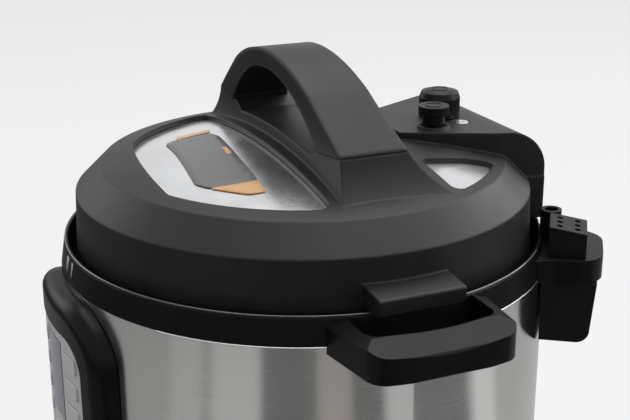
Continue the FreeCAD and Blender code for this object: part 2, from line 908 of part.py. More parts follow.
def make_ledge():
    """Rear ledge on the rim with rails for the drip cup, its connector and guide tube."""
    angle = d.ledge_angle
    plan = [
        (d.ledge_root_x, -d.ledge_root_half),
        (d.ledge_neck_x, -d.ledge_half),
        (d.ledge_reach, -d.ledge_half),
        (d.ledge_reach, d.ledge_half),
        (d.ledge_neck_x, d.ledge_half),
        (d.ledge_root_x, d.ledge_root_half),
    ]
    base_z = d.ledge_top_z - d.ledge_thick
    slab = padded("ledge_plan", "XY_Plane", plan, base_z, d.ledge_thick)
    slab = rounded(
        slab,
        "ledge_corner",
        d.ledge_round,
        lambda edge: straight(edge, Z_AXIS) and middle(edge).x > SIZES["ledge_reach"] - 1.0,
    )
    place(slab, angle=angle)
    rails = []
    rail_long = d.rail_end_x - d.rail_start_x
    for side in (-1, 1):
        word = "near" if side < 0 else "far"
        web_y = d.rail_web_half * side - d.rail_web_thick / 2
        web_z = base_z - d.rail_drop
        rails.append(
            box(
                "rail_web_" + word,
                rail_long,
                d.rail_web_thick,
                d.rail_drop,
                d.rail_start_x,
                web_y,
                web_z,
                angle,
            )
        )
        lip_wide = d.cup_half - d.cup_wall - d.slide_gap - d.rail_web_half
        lip_y = d.rail_web_half if side > 0 else -(d.rail_web_half + lip_wide)
        rails.append(
            box(
                "rail_lip_" + word,
                rail_long,
                lip_wide,
                d.rail_lip_thick,
                d.rail_start_x,
                lip_y,
                web_z,
                angle,
            )
        )
    solid = fuse("ledge_solid", [slab] + rails)
    node("connector_ledge", cut("ledge_cut", solid, [collar_envelope("ledge_room")]))
    # connector block with six holes and a sloped top
    top_z = d.ledge_top_z + d.socket_high
    side_view = [
        (d.socket_x, d.ledge_top_z),
        (d.socket_x + d.socket_long, d.ledge_top_z),
        (d.socket_x + d.socket_long, top_z - d.socket_slope),
        (d.socket_x, top_z),
    ]
    far_y = d.socket_y + d.socket_wide / 2
    block = padded("socket_block", "XZ_Plane", side_view, -far_y, d.socket_wide)
    place(block, angle=angle)
    holes = []
    for row in (-1, 0, 1):
        for column in (-1, 1):
            hole_x = d.socket_x + d.socket_long / 2 + d.socket_hole_pitch * (column * 0.7)
            hole_y = d.socket_y + d.socket_hole_pitch * row
            east, north = swung(hole_x, hole_y, angle)
            name = "socket_hole_%d_%d" % (row + 1, (column + 1) // 2)
            low = top_z - d.socket_hole_deep
            deep = d.socket_hole_deep + d.over_cut
            holes.append(cylinder(name, d.socket_hole_radius, deep, east, north, low))
    node("lid_connector", cut("socket_cut", block, holes))
    east, north = swung(d.tube_x, d.tube_y, angle)
    wall = cylinder("tube_wall", d.tube_radius, d.tube_high, east, north, d.ledge_top_z)
    bore_z = d.ledge_top_z + d.over_cut
    bore = cylinder("tube_bore", d.tube_bore, d.tube_high, east, north, bore_z)
    pin_high = d.tube_high - d.over_cut * 2
    pin = cylinder("tube_pin", d.tube_pin_radius, pin_high, east, north, d.ledge_top_z)
    node("guide_tube", fuse("tube_solid", [cut("tube_cut", wall, [bore]), pin]))


def make_cup():
    """Drip cup that hangs on the ledge's rails and pulls straight out."""
    angle = d.ledge_angle
    top_z = d.ledge_top_z - d.ledge_thick - d.slide_gap
    side_view = [
        (d.cup_hug_x, d.cup_base_z),
        (d.cup_low_x, d.cup_base_z),
        (d.cup_outer_x, top_z),
        (d.cup_hug_x, top_z),
    ]
    reach = d.cup_half + d.over_cut
    long_shape = padded("cup_side", "XZ_Plane", side_view, -reach, reach * 2)
    long_shape = rounded(
        long_shape,
        "cup_corner_round",
        d.cup_corner,
        lambda edge: straight(edge, Y_AXIS)
        and middle(edge).x > SIZES["cup_low_x"] - 1.0
        and middle(edge).z < SIZES["cup_base_z"] + 1.0,
    )
    place(long_shape, angle=angle)
    front_view = [
        (-d.cup_low_half, d.cup_base_z),
        (d.cup_low_half, d.cup_base_z),
        (d.cup_half, top_z),
        (-d.cup_half, top_z),
    ]
    cross = padded("cup_front", "YZ_Plane", front_view, d.cup_hug_x, d.cup_outer_x - d.cup_hug_x)
    place(cross, angle=angle)
    solid = common("cup_solid", [long_shape, cross])
    # the hollow, with an inward flange left along both sides at the top
    wall = d.cup_wall
    flange_z = top_z - d.rail_drop + d.rail_lip_thick + d.slide_gap * 2
    hollow_side = [
        (d.cup_inner_x + wall, d.cup_base_z + wall),
        (d.cup_low_x - wall, d.cup_base_z + wall),
        (d.cup_outer_x - wall, top_z + d.over_cut),
        (d.cup_inner_x + wall, top_z + d.over_cut),
    ]
    hollow_long = padded("cup_hollow_side", "XZ_Plane", hollow_side, -reach, reach * 2)
    place(hollow_long, angle=angle)
    flange_half = d.rail_web_half + d.rail_web_thick / 2 + d.slide_gap
    hollow_front = [
        (-(d.cup_low_half - wall), d.cup_base_z + wall),
        (d.cup_low_half - wall, d.cup_base_z + wall),
        (d.cup_half - wall, flange_z),
        (flange_half, flange_z),
        (flange_half, top_z + d.over_cut),
        (-flange_half, top_z + d.over_cut),
        (-flange_half, flange_z),
        (-(d.cup_half - wall), flange_z),
    ]
    hollow_cross = padded(
        "cup_hollow_front", "YZ_Plane", hollow_front, d.cup_inner_x, d.cup_outer_x - d.cup_inner_x
    )
    place(hollow_cross, angle=angle)
    hollow = common("cup_hollow", [hollow_long, hollow_cross])
    notch_half = d.cup_half - wall
    notch = box(
        "cup_back_notch",
        wall + d.over_cut + d.cup_inner_x - d.cup_hug_x,
        notch_half * 2,
        flange_z - top_z + d.cup_back_drop,
        d.cup_hug_x,
        -notch_half,
        top_z - d.cup_back_drop,
        angle,
    )
    gap = box(
        "cup_back_gap",
        wall + d.over_cut + d.cup_inner_x - d.cup_hug_x,
        flange_half * 2,
        d.cup_back_drop + d.over_cut,
        d.cup_hug_x,
        -flange_half,
        top_z - d.cup_back_drop,
        angle,
    )
    body = cylinder("cup_body_room", d.steel_radius + d.cup_hug_gap, d.lip_z, z=ZERO)
    node("condensation_cup", cut("cup_cut", solid, [hollow, notch, gap, body]))


def sleeve(name, outer, inner):
    """An upright tube round the cooker's axis, as high as the panel and more."""
    wall = cylinder(name + "_outer", outer, d.lip_z, z=ZERO)
    core = cylinder(name + "_core", inner, d.lip_z + d.over_cut, z=ZERO)
    return cut(name, wall, [core])


def upright_block(name, half, base_z, top_z, corner=None):
    """A block behind and in front of the panel's surface from an outline seen from the front."""
    corners = [(-half, base_z), (half, base_z), (half, top_z), (-half, top_z)]
    start = d.panel_back_y
    block = padded(name, "XZ_Plane", corners, start, d.panel_radius + d.over_cut * 2 - start)
    if corner is not None:
        block = rounded(block, name + "_round", corner, lambda edge: straight(edge, Y_AXIS))
    return block


def make_panel():
    """Control panel: bulging surround, curved facia, display, control board and keys."""
    surround = upright_block(
        "panel_block", d.panel_half, d.panel_base_z, d.panel_top_z, d.panel_corner
    )
    far = d.panel_radius + d.over_cut * 20
    front_trim = outline(
        surround,
        "panel_front_outline",
        "XZ_Plane",
        [(d.panel_radius, ZERO), (far, ZERO), (far, d.lip_z), (d.panel_radius, d.lip_z)],
    )
    groove = surround.newObject("PartDesign::Groove", "panel_front_groove")
    groove.Profile = front_trim
    groove.ReferenceAxis = (front_trim, ["V_Axis"])
    groove.Angle = 360
    back_trim = outline(
        surround,
        "panel_back_outline",
        "XZ_Plane",
        [(ZERO, ZERO), (d.band_radius, ZERO), (d.band_radius, d.lip_z), (ZERO, d.lip_z)],
    )
    hollow = surround.newObject("PartDesign::Groove", "panel_back_groove")
    hollow.Profile = back_trim
    hollow.ReferenceAxis = (back_trim, ["V_Axis"])
    hollow.Angle = 360
    surround = rounded(
        surround,
        "panel_front_round",
        d.panel_edge_round,
        lambda edge: abs(math.hypot(middle(edge).x, middle(edge).y) - SIZES["panel_radius"]) < 0.05,
    )
    gap = d.fit_gap
    seat = d.facia_radius - d.facia_thick
    recess_block = upright_block(
        "facia_recess_block",
        d.facia_half + gap,
        d.facia_base_z - gap,
        d.facia_top_z + gap,
        d.facia_corner,
    )
    recess = cut("facia_recess", recess_block, [cylinder("facia_seat", seat, d.lip_z, z=ZERO)])
    opening = upright_block("panel_opening", d.panel_open_half, d.panel_open_base_z, d.panel_open_top_z)
    node("panel_surround", cut("panel_cut", surround, [recess, opening]))
    # facia plate
    face = upright_block("facia_block", d.facia_half, d.facia_base_z, d.facia_top_z, d.facia_corner)
    facia = common("facia_plate", [face, sleeve("facia_sleeve", d.facia_radius, seat + gap)])
    view = upright_block(
        "display_hole",
        d.display_half + gap,
        d.display_base_z - gap,
        d.display_top_z + gap,
    )
    tools = [view]
    pane = upright_block("display_block", d.display_half, d.display_base_z, d.display_top_z)
    lens_sleeve = sleeve("display_sleeve", d.facia_radius + d.display_proud, seat + gap)
    lens = common("display_pane", [pane, lens_sleeve])
    # keys: a column at each side, a lower block and one wide key under the display
    spots = []
    for row in range(KEY_ROWS):
        for side, word in ((-1, "left"), (1, "right")):
            x = d.key_side_x * side
            z = d.key_side_z - d.key_pitch * row
            spots.append(("key_%s_%d" % (word, row + 1), x, z))
    for row in range(LOW_KEY_ROWS):
        for side, word in ((-1, "left"), (1, "right")):
            x = d.key_low_x * side
            z = d.key_low_z - d.key_pitch * row
            spots.append(("key_low_%s_%d" % (word, row + 1), x, z))
    spots.append(("key_centre", ZERO, d.key_mid_z))
    switches = []
    board_front = d.board_y + d.board_thick
    for name, x, z in spots:
        left = x - d.key_wide / 2
        low = z - d.key_high / 2
        cap_outline = [
            (left, low),
            (left + d.key_wide, low),
            (left + d.key_wide, low + d.key_high),
            (left, low + d.key_high),
        ]
        reach = d.panel_radius + d.over_cut - d.key_back_y
        cap = padded(name + "_cap", "XZ_Plane", cap_outline, d.key_back_y, reach)
        cap = rounded(cap, name + "_round", d.key_round, lambda edge: straight(edge, Y_AXIS))
        limit = cylinder(name + "_limit", d.facia_radius + d.key_proud, d.lip_z, z=ZERO)
        flange = box(
            name + "_flange",
            d.key_wide + d.key_flange * 2,
            d.key_flange_thick,
            d.key_high + d.key_flange * 2,
            left - d.key_flange,
            -d.key_back_y,
            low - d.key_flange,
        )
        node(name, fuse(name + "_solid", [common(name + "_face", [cap, limit]), flange]))
        hole_outline = [
            (left - d.slide_gap, low - d.slide_gap),
            (left + d.key_wide + d.slide_gap, low - d.slide_gap),
            (left + d.key_wide + d.slide_gap, low + d.key_high + d.slide_gap),
            (left - d.slide_gap, low + d.key_high + d.slide_gap),
        ]
        hole_start = d.key_back_y - d.over_cut
        hole = padded(name + "_hole", "XZ_Plane", hole_outline, hole_start, reach + d.over_cut * 2)
        hole = rounded(hole, name + "_hole_round", d.key_round, lambda edge: straight(edge, Y_AXIS))
        tools.append(hole)
        key_rest = d.key_back_y - d.key_flange_thick - d.key_travel - d.slide_gap
        switches.append(
            box(
                name + "_switch",
                d.switch_side,
                key_rest - board_front,
                d.switch_side,
                x - d.switch_side / 2,
                -key_rest,
                z - d.switch_side / 2,
            )
        )
    node("panel_facia", cut("facia_cut", facia, tools))
    node("display_lens", lens)
    # control board with one switch behind each key, held on stands behind the facia
    board = box(
        "board_plate",
        d.board_half * 2,
        d.board_thick,
        d.board_top_z - d.board_base_z,
        -d.board_half,
        -(d.board_y + d.board_thick),
        d.board_base_z,
    )
    stands = []
    inset = d.board_stand_radius + d.fit_gap
    stand_long = d.board_stand_end_y - board_front
    for side in (-1, 1):
        for end, level in (("low", d.board_base_z + inset), ("mid", d.board_stand_mid_z)):
            word = "left" if side < 0 else "right"
            x = d.board_stand_x * side
            name = "board_stand_%s_%s" % (word, end)
            stands.append(
                lying(name, d.board_stand_radius, stand_long, x, -board_front, level, -Y_AXIS)
            )
    node("control_board", fuse("board_solid", [board] + switches + stands))


def make_inlet():
    """Power inlet at the back with its recess and three pins."""
    half = d.inlet_wide / 2
    low = d.inlet_z - d.inlet_high / 2
    body = box(
        "inlet_body",
        d.inlet_wide,
        d.inlet_deep + d.over_cut,
        d.inlet_high,
        -half,
        d.steel_radius - d.inlet_deep,
        low,
    )
    flange = box(
        "inlet_flange_plate",
        d.inlet_wide + d.inlet_flange * 2,
        d.inlet_flange_thick,
        d.inlet_high + d.inlet_flange * 2,
        -(half + d.inlet_flange),
        d.steel_radius,
        low - d.inlet_flange,
    )
    floor_y = d.steel_radius - d.inlet_deep + d.inlet_floor
    recess = box(
        "inlet_recess",
        d.inlet_wide - d.inlet_wall * 2,
        d.inlet_deep + d.over_cut * 2,
        d.inlet_high - d.inlet_wall * 2,
        -(half - d.inlet_wall),
        floor_y,
        low + d.inlet_wall,
    )
    node("power_inlet", cut("inlet_cut", fuse("inlet_solid", [body, flange]), [recess]))
    pins = []
    for index, side in enumerate((-1, 0, 1)):
        rise = d.pin_rise if side == 0 else -d.pin_rise
        pins.append(
            box(
                "inlet_pin_%d" % index,
                d.pin_wide,
                d.pin_long,
                d.pin_high,
                d.pin_pitch * side - d.pin_wide / 2,
                floor_y,
                d.inlet_z + rise - d.pin_high / 2,
            )
        )
    node("inlet_pins", group("inlet_pin_set", pins))


def lug_ring(name, outer, inner, base_z, high, first):
    """A ring of separate lugs of the same angle, each starting at its own turn."""
    sectors = []
    for index in range(LUG_COUNT):
        sector = cylinder("%s_sector_%d" % (name, index), outer, high, z=base_z)
        bind(sector, "Angle", d.lug_angle)
        place(sector, z=base_z, angle=first + d.lug_pitch * index)
        sectors.append(sector)
    core = cylinder(name + "_core", inner, high + d.over_cut * 2, z=base_z - d.over_cut)
    return cut(name, fuse(name + "_set", sectors), [core])


def make_outer_pot():
    """Outer pot with its seat flange and lock lugs, the heating plate, sensor and pressure switch."""
    inner = d.outer_pot_radius - d.outer_pot_thick
    floor = d.outer_pot_floor_z
    seat = d.gutter_floor_z + d.seat_flange_thick
    wall = revolved(
        "outer_pot_wall",
        [
            (ZERO, floor - d.outer_pot_thick),
            (d.outer_pot_radius, floor - d.outer_pot_thick),
            (d.outer_pot_radius, d.gutter_floor_z),
            (d.seat_flange_radius, d.gutter_floor_z),
            (d.seat_flange_radius, seat),
            (d.outer_pot_radius, seat),
            (d.outer_pot_radius, d.lock_base_z),
            (d.lock_ring_radius, d.lock_base_z),
            (d.lock_ring_radius, d.lock_top_z),
            (inner, d.lock_top_z),
            (inner, floor),
            (ZERO, floor),
        ],
    )
    lugs = lug_ring(
        "lock_lugs",
        d.lock_lug_radius,
        d.outer_pot_radius,
        d.lock_base_z,
        d.lock_top_z - d.lock_base_z,
        -d.lug_angle / 2,
    )
    node("outer_pot", fuse("outer_pot_solid", [wall, lugs]))
    top_z = d.pot_base_z - d.slide_gap
    disc = cylinder("heater_disc", d.heater_radius, top_z - d.heater_base_z, z=d.heater_base_z)
    hole = cylinder(
        "heater_hole", d.sensor_hole, d.over_cut * 2 + top_z - d.heater_base_z, z=d.heater_base_z - d.over_cut
    )
    legs = []
    for index in range(3):
        x, y = swung(d.heater_leg_ring, ZERO, Size.of(120.0 * index))
        legs.append(
            cylinder("heater_leg_%d" % index, d.heater_leg_radius, d.heater_base_z - floor, x, y, floor)
        )
    node("heating_plate", fuse("heater_solid", [cut("heater_cut", disc, [hole])] + legs))
    sensor = cylinder("sensor_puck", d.sensor_radius, top_z - d.sensor_base_z, z=d.sensor_base_z)
    node("sensor_button", sensor)
    spring_high = d.sensor_base_z - floor - d.slide_gap
    coil = cylinder("sensor_spring_outer", d.sensor_spring_radius, spring_high, z=floor)
    core = cylinder(
        "sensor_spring_core", d.sensor_spring_radius - d.sensor_spring_wall, spring_high + d.over_cut, z=floor
    )
    node("sensor_spring", cut("sensor_spring_cut", coil, [core]))
    switch = box(
        "pressure_switch_box",
        d.pressure_switch_long,
        d.pressure_switch_wide,
        d.pressure_switch_high,
        d.pressure_switch_x,
        -d.pressure_switch_wide / 2,
        floor - d.outer_pot_thick - d.pressure_switch_high,
    )
    node("pressure_switch", switch)
    plate = box(
        "power_board_plate",
        d.power_board_half_x * 2,
        d.power_board_half_y * 2,
        d.power_board_thick,
        -d.power_board_half_x,
        -d.power_board_half_y,
        d.post_top_z,
    )
    deck = d.post_top_z + d.power_board_thick
    relay = box("relay", d.relay_side, d.relay_side, d.relay_high, d.part_x, d.part_y - d.relay_side, deck)
    capacitor = cylinder("capacitor", d.capacitor_radius, d.capacitor_high, -d.part_x, d.part_y, deck)
    node("power_board", fuse("power_board_solid", [plate, relay, capacitor]))


def make_pot():
    """Removable inner pot with a rolled lip."""
    inner = d.pot_radius - d.pot_thick
    turn = d.pot_base_round
    shape = revolved(
        "pot_shape",
        [
            (ZERO, d.pot_base_z),
            (d.pot_radius - turn, d.pot_base_z, turn),
            (d.pot_radius, d.pot_base_z + turn),
            (d.pot_radius, d.pot_lip_z),
            (d.pot_lip_radius, d.pot_lip_z),
            (d.pot_lip_radius, d.pot_lip_z + d.pot_lip_thick),
            (inner, d.pot_lip_z + d.pot_lip_thick),
            (inner, d.pot_base_z + turn, -(turn - d.pot_thick)),
            (d.pot_radius - turn, d.pot_base_z + d.pot_thick),
            (ZERO, d.pot_base_z + d.pot_thick),
        ],
    )
    node("inner_pot", shape)


def make_seal():
    """Sealing ring with an inward groove and the rack that holds it."""
    top = d.seal_base_z + d.seal_high
    back = d.seal_outer - d.seal_back
    ring = revolved(
        "seal_shape",
        [
            (d.seal_inner, d.seal_base_z),
            (d.seal_outer, d.seal_base_z),
            (d.seal_outer, top),
            (d.seal_inner, top),
            (d.seal_inner, top - d.seal_lip),
            (back, top - d.seal_lip),
            (back, d.seal_base_z + d.seal_lip),
            (d.seal_inner, d.seal_base_z + d.seal_lip),
        ],
    )
    node("sealing_ring", ring)
    centre = d.seal_base_z + d.seal_high / 2
    rack = revolved(
        "rack_shape",
        [
            (d.rack_inner, centre - d.rack_thick / 2),
            (back - d.slide_gap, centre - d.rack_thick / 2),
            (back - d.slide_gap, centre + d.rack_thick / 2),
            (d.rack_inner, centre + d.rack_thick / 2),
        ],
    )
    node("ring_rack", rack)


def lid_holes(name):
    """Openings through the steel lid for the steam pipe, the float and the screws."""
    low = d.lid_wall_top_z - d.over_cut * 4
    high = d.dome_top_z - low
    tools = [
        cylinder(name + "_pipe", d.pipe_radius + d.fit_gap, high, d.valve_x, d.valve_y, low),
        cylinder(name + "_float", d.float_pin_radius + d.slide_gap, high, d.float_x, d.float_y, low),
    ]
    for side, word in ((-1, "left"), (1, "right")):
        screw_hole = d.lid_screw_radius + d.fit_gap
        tools.append(cylinder(name + "_screw_" + word, screw_hole, high, d.boss_x * side, ZERO, low))
    return tools


def make_lid_steel():
    """Steel lid: skirt with inward lugs, flat over the seal, wall and shallow dome."""
    thick = d.lid_steel_thick
    shape = revolved(
        "lid_steel_shape",
        [
            (ZERO, d.lid_dome_z - thick),
            (d.dome_flat, d.lid_dome_z - thick, -(d.lid_dome_radius - thick)),
            (d.lid_wall_top_radius - thick, d.lid_wall_top_z - thick),
            (d.lid_wall_radius - thick, d.lid_flat_z - thick),
            (d.lid_skirt_radius - thick, d.lid_flat_z - thick),
            (d.lid_skirt_radius - thick, d.lid_skirt_base_z),
            (d.lid_skirt_radius, d.lid_skirt_base_z),
            (d.lid_skirt_radius, d.lid_flat_z),
            (d.lid_wall_radius, d.lid_flat_z),
            (d.lid_wall_top_radius, d.lid_wall_top_z, d.lid_dome_radius),
            (d.dome_flat, d.lid_dome_z),
            (ZERO, d.lid_dome_z),
        ],
    )
    lugs = lug_ring(
        "lid_lugs",
        d.lid_skirt_radius - thick / 2,
        d.lid_lug_inner,
        d.lid_skirt_base_z,
        d.lid_lug_thick,
        d.lug_pitch / 2 - d.lug_angle / 2,
    )
    node("lid_steel", cut("lid_steel_cut", fuse("lid_steel_solid", [shape, lugs]), lid_holes("steel_hole")))


def make_lid_cover():
    """Plastic lid cover: skirt, shoulder, dome, handle feet, fins, shroud and windows."""
    outer = revolved(
        "cover_outer",
        [
            (ZERO, d.cover_skirt_z),
            (d.cover_foot_radius, d.cover_skirt_z),
            (d.cover_radius, d.cover_edge_z),
            (d.crease_radius, d.crease_z, d.dome_radius),
            (d.dome_flat, d.dome_top_z),
            (ZERO, d.dome_top_z),
        ],
    )
    wall = d.lid_wall
    inner = revolved(
        "cover_inner",
        [
            (ZERO, d.cover_skirt_z - d.over_cut),
            (d.cover_foot_radius - wall, d.cover_skirt_z - d.over_cut),
            (d.cover_radius - wall, d.cover_edge_z - wall / 2),
            (d.crease_radius - wall / 2, d.crease_z - wall, d.dome_radius - wall),
            (d.dome_flat, d.dome_top_z - wall),
            (ZERO, d.dome_top_z - wall),
        ],
    )
    # handle feet joined by the low platform under the grip
    front_view = [
        (-d.foot_toe_x, d.foot_bury_z),
        (d.foot_toe_x, d.foot_bury_z),
        (d.foot_toe_x, d.foot_toe_z, -d.foot_hollow_radius),
        (d.seam_x, d.seam_z),
        (d.seam_inner_x, d.seam_inner_z),
        (d.platform_x, d.platform_z, d.platform_radius),
        (-d.platform_x, d.platform_z),
        (-d.seam_inner_x, d.seam_inner_z),
        (-d.seam_x, d.seam_z, -d.foot_hollow_radius),
        (-d.foot_toe_x, d.foot_toe_z),
    ]
    reach = d.foot_rear_half + d.over_cut * 2
    feet_long = padded("feet_front", "XZ_Plane", front_view, -reach, reach * 2)
    side_view = [
        (-d.foot_half, d.foot_bury_z),
        (d.foot_rear_half, d.foot_bury_z),
        (d.foot_rear_half, d.foot_spread_z, -d.foot_side_radius),
        (d.seam_rear_half, d.seam_z),
        (-d.seam_half, d.seam_z, -d.foot_side_radius),
        (-d.foot_half, d.foot_spread_z),
    ]
    feet_cross = padded("feet_side", "YZ_Plane", side_view, -d.cover_radius, d.cover_radius * 2)
    drum = cylinder("feet_drum", d.crease_radius - d.fit_gap, d.grip_top_z, z=ZERO)
    feet = common("feet_trim", [common("feet_solid", [feet_long, feet_cross]), drum])
    fins = []
    for side, word in ((1, "right"), (-1, "left")):
        view = [
            (d.fin_root * side, d.fin_base_z),
            ((d.fin_reach - d.fin_step_back) * side, d.fin_base_z),
            ((d.fin_reach - d.fin_step_back) * side, d.fin_step_z),
            (d.fin_reach * side, d.fin_step_z),
            (d.fin_reach * side, d.fin_outer_z - d.fin_bevel),
            ((d.fin_reach - d.fin_bevel) * side, d.fin_outer_z),
            (d.fin_root * side, d.fin_inner_z),
        ]
        if side < 0:
            view = view[::-1]
        fins.append(padded("fin_" + word, "XZ_Plane", view, -d.fin_half, d.fin_half * 2))
    # steam shroud
    plan = [
        (-d.shroud_front_half, d.shroud_front_y),
        (d.shroud_front_half, d.shroud_front_y),
        (d.shroud_knee_half, d.shroud_knee_y),
        (d.shroud_tail_half, d.shroud_tail_y),
        (-d.shroud_tail_half, d.shroud_tail_y),
        (-d.shroud_knee_half, d.shroud_knee_y),
    ]
    low = d.foot_bury_z - d.over_cut
    fan = padded("shroud_plan", "XY_Plane", plan, low, d.shroud_top_z - low + d.over_cut)
    fan = rounded(
        fan,
        "shroud_knee_round",
        d.shroud_back_radius,
        lambda edge: straight(edge, Z_AXIS) and abs(middle(edge).y - SIZES["shroud_knee_y"]) < 0.1,
    )
    profile = [
        (d.shroud_front_y - d.over_cut, low),
        (d.shroud_back_y, low),
        (d.shroud_back_y, d.shroud_back_z, d.shroud_back_radius),
        (d.shroud_flat_y, d.shroud_top_z),
        (d.shroud_front_y - d.over_cut, d.shroud_top_z),
    ]
    shroud_reach = d.shroud_tail_half + d.over_cut
    hump = padded("shroud_profile", "YZ_Plane", profile, -shroud_reach, shroud_reach * 2)
    shroud = common("shroud_solid", [fan, hump])
    tail_plan = [
        (-d.shroud_knee_half, d.shroud_knee_y),
        (d.shroud_knee_half, d.shroud_knee_y),
        (d.shroud_tail_half, d.shroud_back_y),
        (-d.shroud_tail_half, d.shroud_back_y),
    ]
    tail = padded("shroud_tail", "XY_Plane", tail_plan, d.shroud_tail_z, low + d.over_cut - d.shroud_tail_z)
    button_ring = cylinder(
        "button_ring",
        d.button_flange_radius,
        d.button_flange_high + d.over_cut,
        d.button_x,
        d.button_y,
        d.shroud_top_z - d.over_cut,
    )
    solid = fuse("cover_solid", [outer, feet] + fins + [shroud, tail, button_ring])
    # the cave under the shroud, where the rocker works
    thin = d.shroud_wall
    cave_plan = [
        (-(d.shroud_front_half - thin), d.shroud_front_y + thin),
        (d.shroud_front_half - thin, d.shroud_front_y + thin),
        (d.shroud_knee_half - thin * 2, d.shroud_knee_y),
        (d.shroud_knee_half - thin * 2, d.cave_end_y),
        (-(d.shroud_knee_half - thin * 2), d.cave_end_y),
        (-(d.shroud_knee_half - thin * 2), d.shroud_knee_y),
    ]
    cave = padded("shroud_cave", "XY_Plane", cave_plan, low, d.shroud_top_z - thin - low)
    # windows
    window_plan = [
        (-d.window_back_x, -d.window_back_y, d.window_side_radius),
        (-d.window_far_x, -d.window_far_y, d.window_front_radius),
        (d.window_front_x, -d.window_front_y, d.window_side_radius),
        (d.window_back_x, -d.window_back_y),
    ]
    window = padded("front_window", "XY_Plane", window_plan, low, d.grip_top_z - low)
    window = rounded(window, "front_window_round", d.window_round, lambda edge: straight(edge, Z_AXIS))
    tools = [inner, cave, window]
    for side, word in ((1, "right"), (-1, "left")):
        moon = [
            (d.moon_a_x * side, d.moon_a_y),
            (d.moon_b_x * side, d.moon_b_y, d.moon_radius),
            (d.moon_c_x * side, d.moon_c_y),
            (d.moon_d_x * side, d.moon_d_y),
        ]
        if side < 0:
            moon = [
                (-d.moon_a_x, d.moon_a_y),
                (-d.moon_d_x, d.moon_d_y),
                (-d.moon_c_x, d.moon_c_y, d.moon_radius),
                (-d.moon_b_x, d.moon_b_y),
            ]
        hole = padded("moon_" + word, "XY_Plane", moon, low, d.grip_top_z - low)
        hole = rounded(hole, "moon_round_" + word, d.moon_round, lambda edge: straight(edge, Z_AXIS))
        tools.append(hole)
    high = d.grip_top_z - low
    valve_hole = d.valve_stem_radius + d.slide_gap
    tools.append(cylinder("valve_hole", valve_hole, high, d.valve_x, d.valve_y, low))
    rod_hole = d.button_rod_radius + d.slide_gap
    tools.append(cylinder("rod_hole", rod_hole, high, d.button_x, d.button_y, low))
    well = d.button_stem_radius + d.slide_gap
    well_z = d.shroud_top_z - d.over_cut / 2
    tools.append(cylinder("stem_well", well, high, d.button_x, d.button_y, well_z))
    pin_hole = d.float_pin_radius + d.slide_gap
    tools.append(cylinder("float_hole", pin_hole, high, d.float_x, d.float_y, low))
    recess_z = d.shroud_top_z - d.float_recess_deep
    tools.append(cylinder("float_recess", d.float_recess_radius, high, d.float_x, d.float_y, recess_z))
    hollow = cut("cover_hollow", solid, tools)
    # bosses that carry the cover on the steel lid, and bearings for the rocker
    extras = []
    bores = []
    for side, word in ((-1, "left"), (1, "right")):
        x = d.boss_x * side
        boss_high = d.crease_z + wall * 2 - d.boss_base_z
        extras.append(cylinder("boss_" + word, d.boss_radius, boss_high, x, ZERO, d.boss_base_z))
        bore_low = d.boss_base_z - d.over_cut
        bores.append(
            cylinder("boss_bore_" + word, d.lid_screw_radius + d.fit_gap, boss_high, x, ZERO, bore_low)
        )
    pivot_x, pivot_y, way = rocker_frame()
    lug_top = d.shroud_top_z - thin + d.over_cut / 2
    lug_low = d.rocker_z - d.rocker_pin_radius - d.slide_gap - d.rocker_lug_thick / 2
    for side, word in ((-1, "a"), (1, "b")):
        offset = d.rocker_wide / 2 + d.slide_gap * 2
        shift = offset if side > 0 else -(offset + d.rocker_lug_thick)
        lug = doc.addObject("Part::Box", "rocker_lug_" + word)
        bind(lug, "Length", d.rocker_lug_long)
        bind(lug, "Width", d.rocker_lug_thick)
        bind(lug, "Height", lug_top - lug_low)
        lug_x, lug_y = swung(-d.rocker_lug_long / 2, shift, way)
        place(lug, pivot_x + lug_x, pivot_y + lug_y, lug_low, way)
        extras.append(lug)
    bearing_half = d.rocker_pin_half + d.over_cut
    start_x, start_y = swung(ZERO, -bearing_half, way)
    bores.append(
        lying(
            "rocker_bearing",
            d.rocker_pin_radius + d.slide_gap,
            bearing_half * 2,
            pivot_x + start_x,
            pivot_y + start_y,
            d.rocker_z,
            across(way),
        )
    )
    node("lid_cover", cut("cover_bored", fuse("cover_full", [hollow] + extras), bores))


